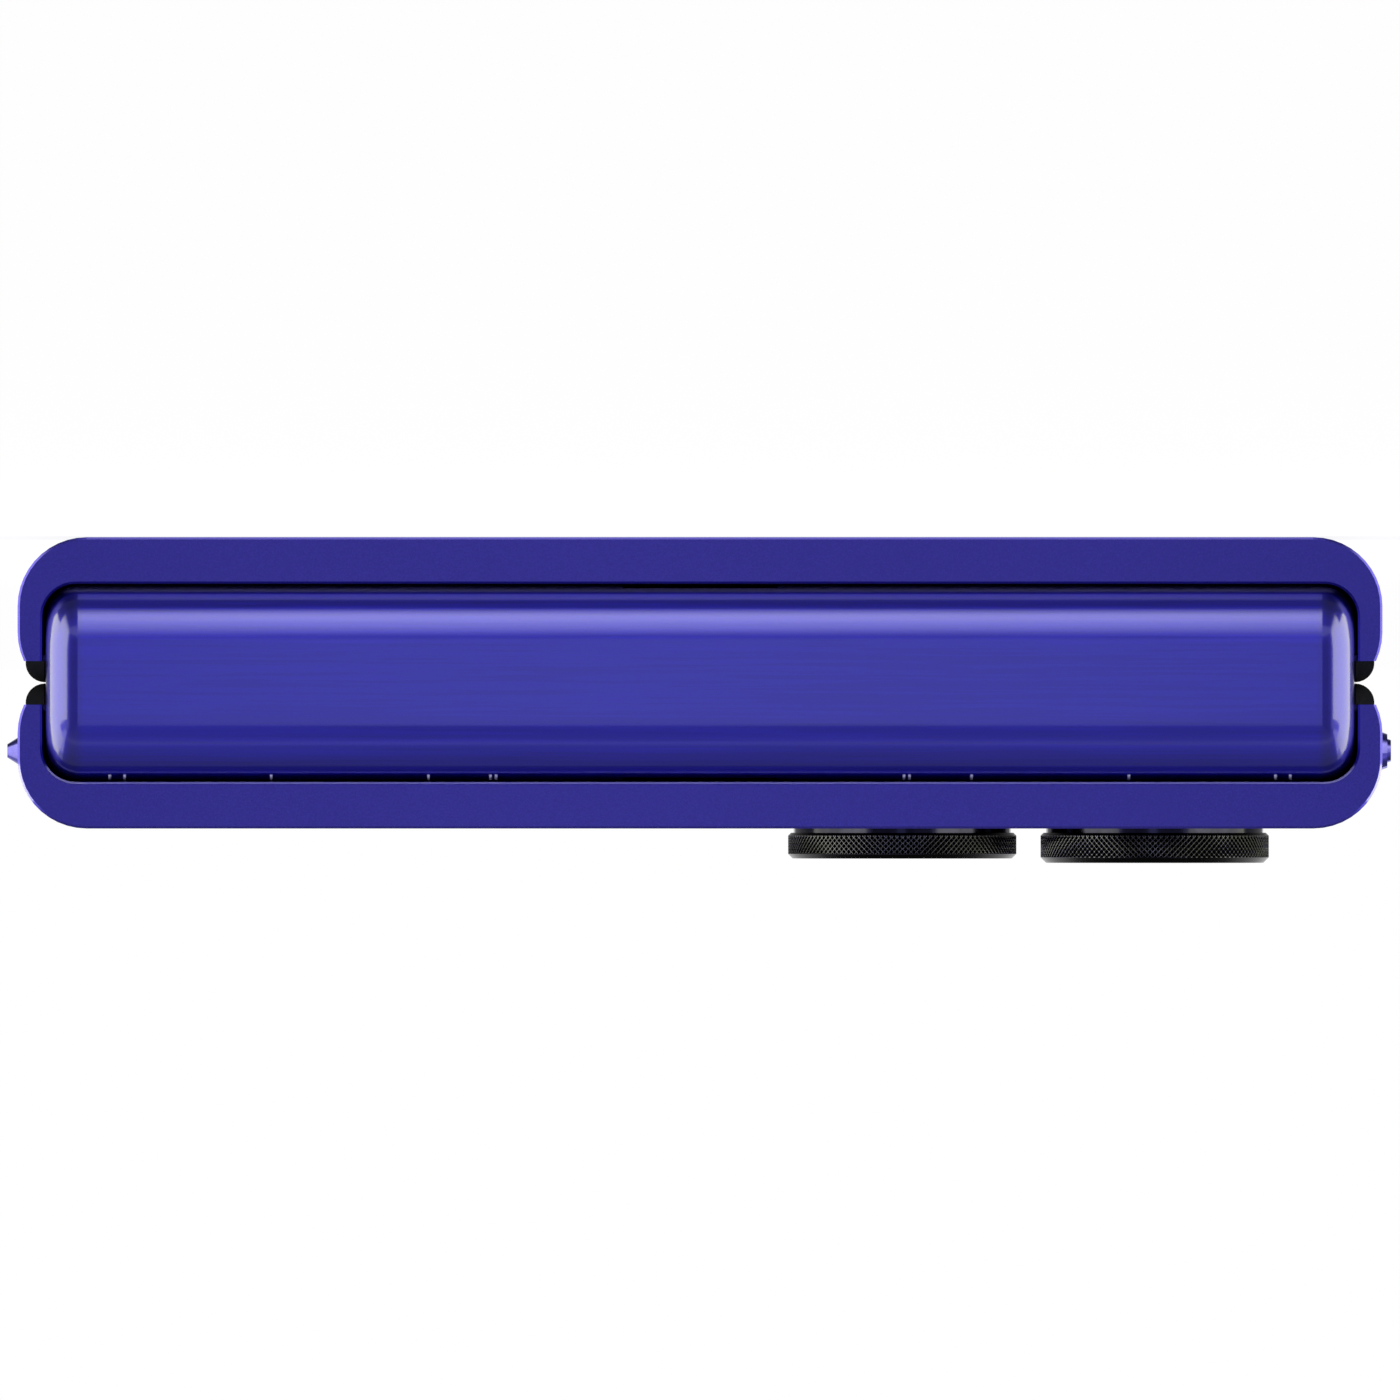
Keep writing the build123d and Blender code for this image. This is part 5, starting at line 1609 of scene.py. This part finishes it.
@dataclass
class Studio:
    """Pale floor, white surroundings, softboxes, cards and the camera.

    The camera and the body's end face are in millimetres, the rest of the studio in metres.
    """

    lens: float = 1620.0
    sensor: float = 36.0
    view_width: float = 75.9
    view_middle_z: float = 8.83
    end_face_y: float = -41.70
    floor_size: float = 30.0
    floor_level: float = -0.00005
    floor_glow: float = 1.1
    glow_share: float = 0.82
    ambient: float = 0.55
    # Where the cards stand, from the middle outward, from the front back and upward
    narrow: float = 0.05
    wide: float = 0.42
    front: float = -0.62
    back: float = 0.17
    deep: float = -0.55
    low: float = -0.3
    eaves: float = 0.14
    high: float = 0.5

    def seen(self, graph: Graph) -> Flow:
        """Tell the rays that are looked along from those that only carry light.

        Args:
            graph: The nodes of the material or the world.

        Returns:
            1 for rays of the camera, of gloss and through glass, else 0.
        """
        path = graph.node("ShaderNodeLightPath").socket.node
        kinds = ("Camera", "Glossy", "Transmission")
        camera, gloss, through = (Flow(graph, path.outputs[f"Is {kind} Ray"]) for kind in kinds)
        return (camera + gloss + through).between(0.0, 1.0)

    def floor(self) -> None:
        """Lay the floor: a pale matt surface that keeps the phone's shadow."""
        half, level = self.floor_size / 2, self.floor_level
        corners = [(-half, -half, level), (half, -half, level), (half, half, level)]
        mesh = bpy.data.meshes.new("floor")
        mesh.from_pydata([*corners, (-half, half, level)], [], [(0, 1, 2, 3)])
        floor = bpy.data.objects.new("floor", mesh)
        bpy.context.scene.collection.objects.link(floor)
        material = bpy.data.materials.new("floor_paint")
        material.use_nodes = True
        graph = Graph(material.node_tree)
        tone = graph.mix(graph.noise(40, 3.0), (0.86, 0.86, 0.86), (0.9, 0.9, 0.9))
        paint = graph.node("ShaderNodeBsdfDiffuse", None, {"Color": tone})
        glow = graph.node("ShaderNodeEmission", None, {"Strength": self.floor_glow})
        share = self.seen(graph) * self.glow_share
        mixed = graph.node("ShaderNodeMixShader", None, {0: share, 1: paint, 2: glow})
        graph.node("ShaderNodeOutputMaterial", None, {"Surface": mixed})
        mesh.materials.append(material)
        floor.visible_glossy = False

    def surroundings(self) -> None:
        """Surround the phone with white for what is seen and soft light for the rest."""
        world = bpy.data.worlds.new("studio_white")
        world.use_nodes = True
        graph = Graph(world.node_tree)
        strength = self.seen(graph).spread(self.ambient, 1.0)
        inputs = {"Color": (1, 1, 1, 1), "Strength": strength}
        glow = graph.node("ShaderNodeBackground", None, inputs)
        graph.node("ShaderNodeOutputWorld", None, {"Surface": glow})
        bpy.context.scene.world = world

    def lamps(self) -> None:
        """Hang the softboxes: one high on each side and one high behind."""
        for name, side in (("left_softbox", -1), ("right_softbox", 1)):
            Softbox(name, (0.7 * side, -0.3, 0.6), (0, 0, 0), (0.6, 0.4), 1.4).build()
        Softbox("back_softbox", (0, 0.7, 0.9), (0, 0, 0), (0.9, 0.5), 1.3).build()

    def side_cards(self, name: str, side: int) -> list[Card]:
        """Plan the bright wall, its upper part, the dark wall beyond and the front wing.

        Args:
            name: Which side it is, in the cards' names.
            side: -1 for the side of -X, 1 for the other.

        Returns:
            The cards.
        """
        amber, pale_blue = (1.0, 0.99, 0.50), (0.9, 0.9, 1.0)
        x, deep, low, eaves = self.wide * side, self.deep, self.low, self.eaves
        wall, upper, wing = (0, 0, eaves - deep), (0, 0, 0.22), (0, 0, self.high - low)
        wall_front, upper_front, far = -0.52, -0.2, 1.2
        wing_ends = (self.narrow * side, self.front, low), (0.28 * side, -0.41, low)
        back, high_back = (x, self.back, deep), (x, self.back, eaves)
        wall_fade, upper_fade = ((0.0, 0.25), (0.2, 1.0), (1.0, 1.0)), ((0.0, 1.0), (1.0, 0.7))
        return [
            Card(f"bright_{name}", (x, wall_front, deep), back, wall, 5.0, amber, 2, wall_fade),
            Card(f"bright_high_{name}", (x, upper_front, eaves), high_back, upper, 5.0, amber, 2,
                 upper_fade),
            Card(f"shade_far_{name}", back, (x, far, deep), wall, 0.3),
            Card(f"shade_{name}", *wing_ends, wing, 0.3, pale_blue),
        ]

    def cards(self) -> None:
        """Stand the cards that the brushed metal reflects.

        Bright ones stand at both sides and lie low in front, and darker ones stand beside
        the camera, lie below and hang above.
        """
        warm, cool, white = (1.0, 0.99, 0.62), (0.82, 0.82, 1.0), (1.0, 1.0, 1.0)
        narrow, wide, front, deep, low = self.narrow, self.wide, self.front, self.deep, self.low
        sides = (("left", -1), ("right", 1))
        below, behind = -0.08, 0.5
        strip_front, dark_front, inner = -0.75, -0.5, 0.09
        roof_half, roof_front, roof_step = 0.4, (-0.75, 0.2375), (0, 1.25, 0.3625)
        strip_glow = (
            (0.0, 0.0), (0.34, 0.15), (0.5, 0.36), (0.61, 0.6), (0.72, 0.75), (0.82, 1.0),
            (0.89, 0.95), (0.95, 0.5), (1.0, 0.05),
        )
        roof_glow = (
            (0.0, 0.8), (0.25, 0.85), (0.335, 1.0), (0.368, 1.8), (0.4, 1.0), (0.6, 0.6),
            (1.0, 0.5),
        )
        cards = [card for name, side in sides for card in self.side_cards(name, side)]
        cards += [
            Card("cool_front", (-narrow, front, low), (narrow, front, low),
                 (0, 0, self.high - low), 1.15, cool),
            Card("bright_low", (-narrow, strip_front, low), (narrow, strip_front, low),
                 (0, below - strip_front, 0), 4.2, warm, 1, strip_glow),
        ]
        cards += [
            Card(f"shade_low_{name}", (inner * side, dark_front, deep),
                 (wide * side, dark_front, deep), (0, below - dark_front, 0), 0.25)
            for name, side in sides
        ]
        cards += [
            Card("shade_below", (-wide, below, low), (wide, below, low),
                 (0, behind - below, 0), 0.16),
            Card("shade_above", (-roof_half, *roof_front), (roof_half, *roof_front), roof_step,
                 0.42, white, 1, roof_glow),
        ]
        for card in cards:
            card.build()

    def camera(self) -> None:
        """Point the camera along +Y at the hinge end, rolled half a turn.

        Its distance puts view_width across the frame at the end face.
        """
        data = bpy.data.cameras.new("camera")
        data.lens, data.sensor_width = self.lens, self.sensor
        camera = bpy.data.objects.new("camera", data)
        bpy.context.scene.collection.objects.link(camera)
        distance = self.lens / self.sensor * self.view_width
        place = Vector((0, self.end_face_y - distance, self.view_middle_z)) * MM
        turn = Matrix(((-1, 0, 0), (0, 0, -1), (0, -1, 0)))
        camera.matrix_world = Matrix.Translation(place) @ turn.to_4x4()
        data.clip_start, data.clip_end = 0.1, 100.0
        bpy.context.scene.camera = camera

    def build(self) -> None:
        """Set up the whole studio."""
        bpy.context.scene.view_settings.view_transform = "Standard"
        self.floor()
        self.surroundings()
        self.lamps()
        self.cards()
        self.camera()


def main() -> None:
    """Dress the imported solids, build every finer piece and set up the studio."""
    logging.basicConfig(level=logging.INFO, format="%(name)s: %(message)s")
    LOG.info("dressed %d packed solids", PackedSolids().dress())
    groups = {
        "folding screen": FoldingStrip(
            name="fold_skin", replaced="fold_screen", finish=SCREEN_SKIN, half_width=34.6,
            reach=1.6, top=0.95, bottom=0.65, start=(1.6, 0.95), end=(0.95, 1.5),
        ),
        "hinge cable": FoldingStrip(
            name="fold_cable", replaced="hinge_flex", finish=FLEX_FILM, half_width=4.0,
            reach=9.8, top=-0.66, bottom=-0.80, start=(3.9, -0.73), end=(-0.73, 1.5),
            across=9, along=110,
        ),
        "main camera": CameraGroup(
            name="main", centre=(-11.20, 31.70), stand=1.80, chamfer=0.25, body="main_lens",
            barrel_top=16.54, barrel_bottom=11.26, replaced_barrel="main_lens_barrel",
        ),
        "wide camera": CameraGroup(
            name="wide", centre=(-25.18, 31.70), stand=2.04, chamfer=0.30, body="front",
            barrel_top=17.03, barrel_bottom=10.45, replaced_barrel="wide_camera", block=10.4,
        ),
        "flash": Flash(),
        "ports": Ports(),
    }
    for label, group in groups.items():
        for piece in group.build():
            LOG.info("%s: %s, %d faces", label, piece.name, len(piece.data.polygons))
    Studio().build()


if __name__ == "__main__":
    main()
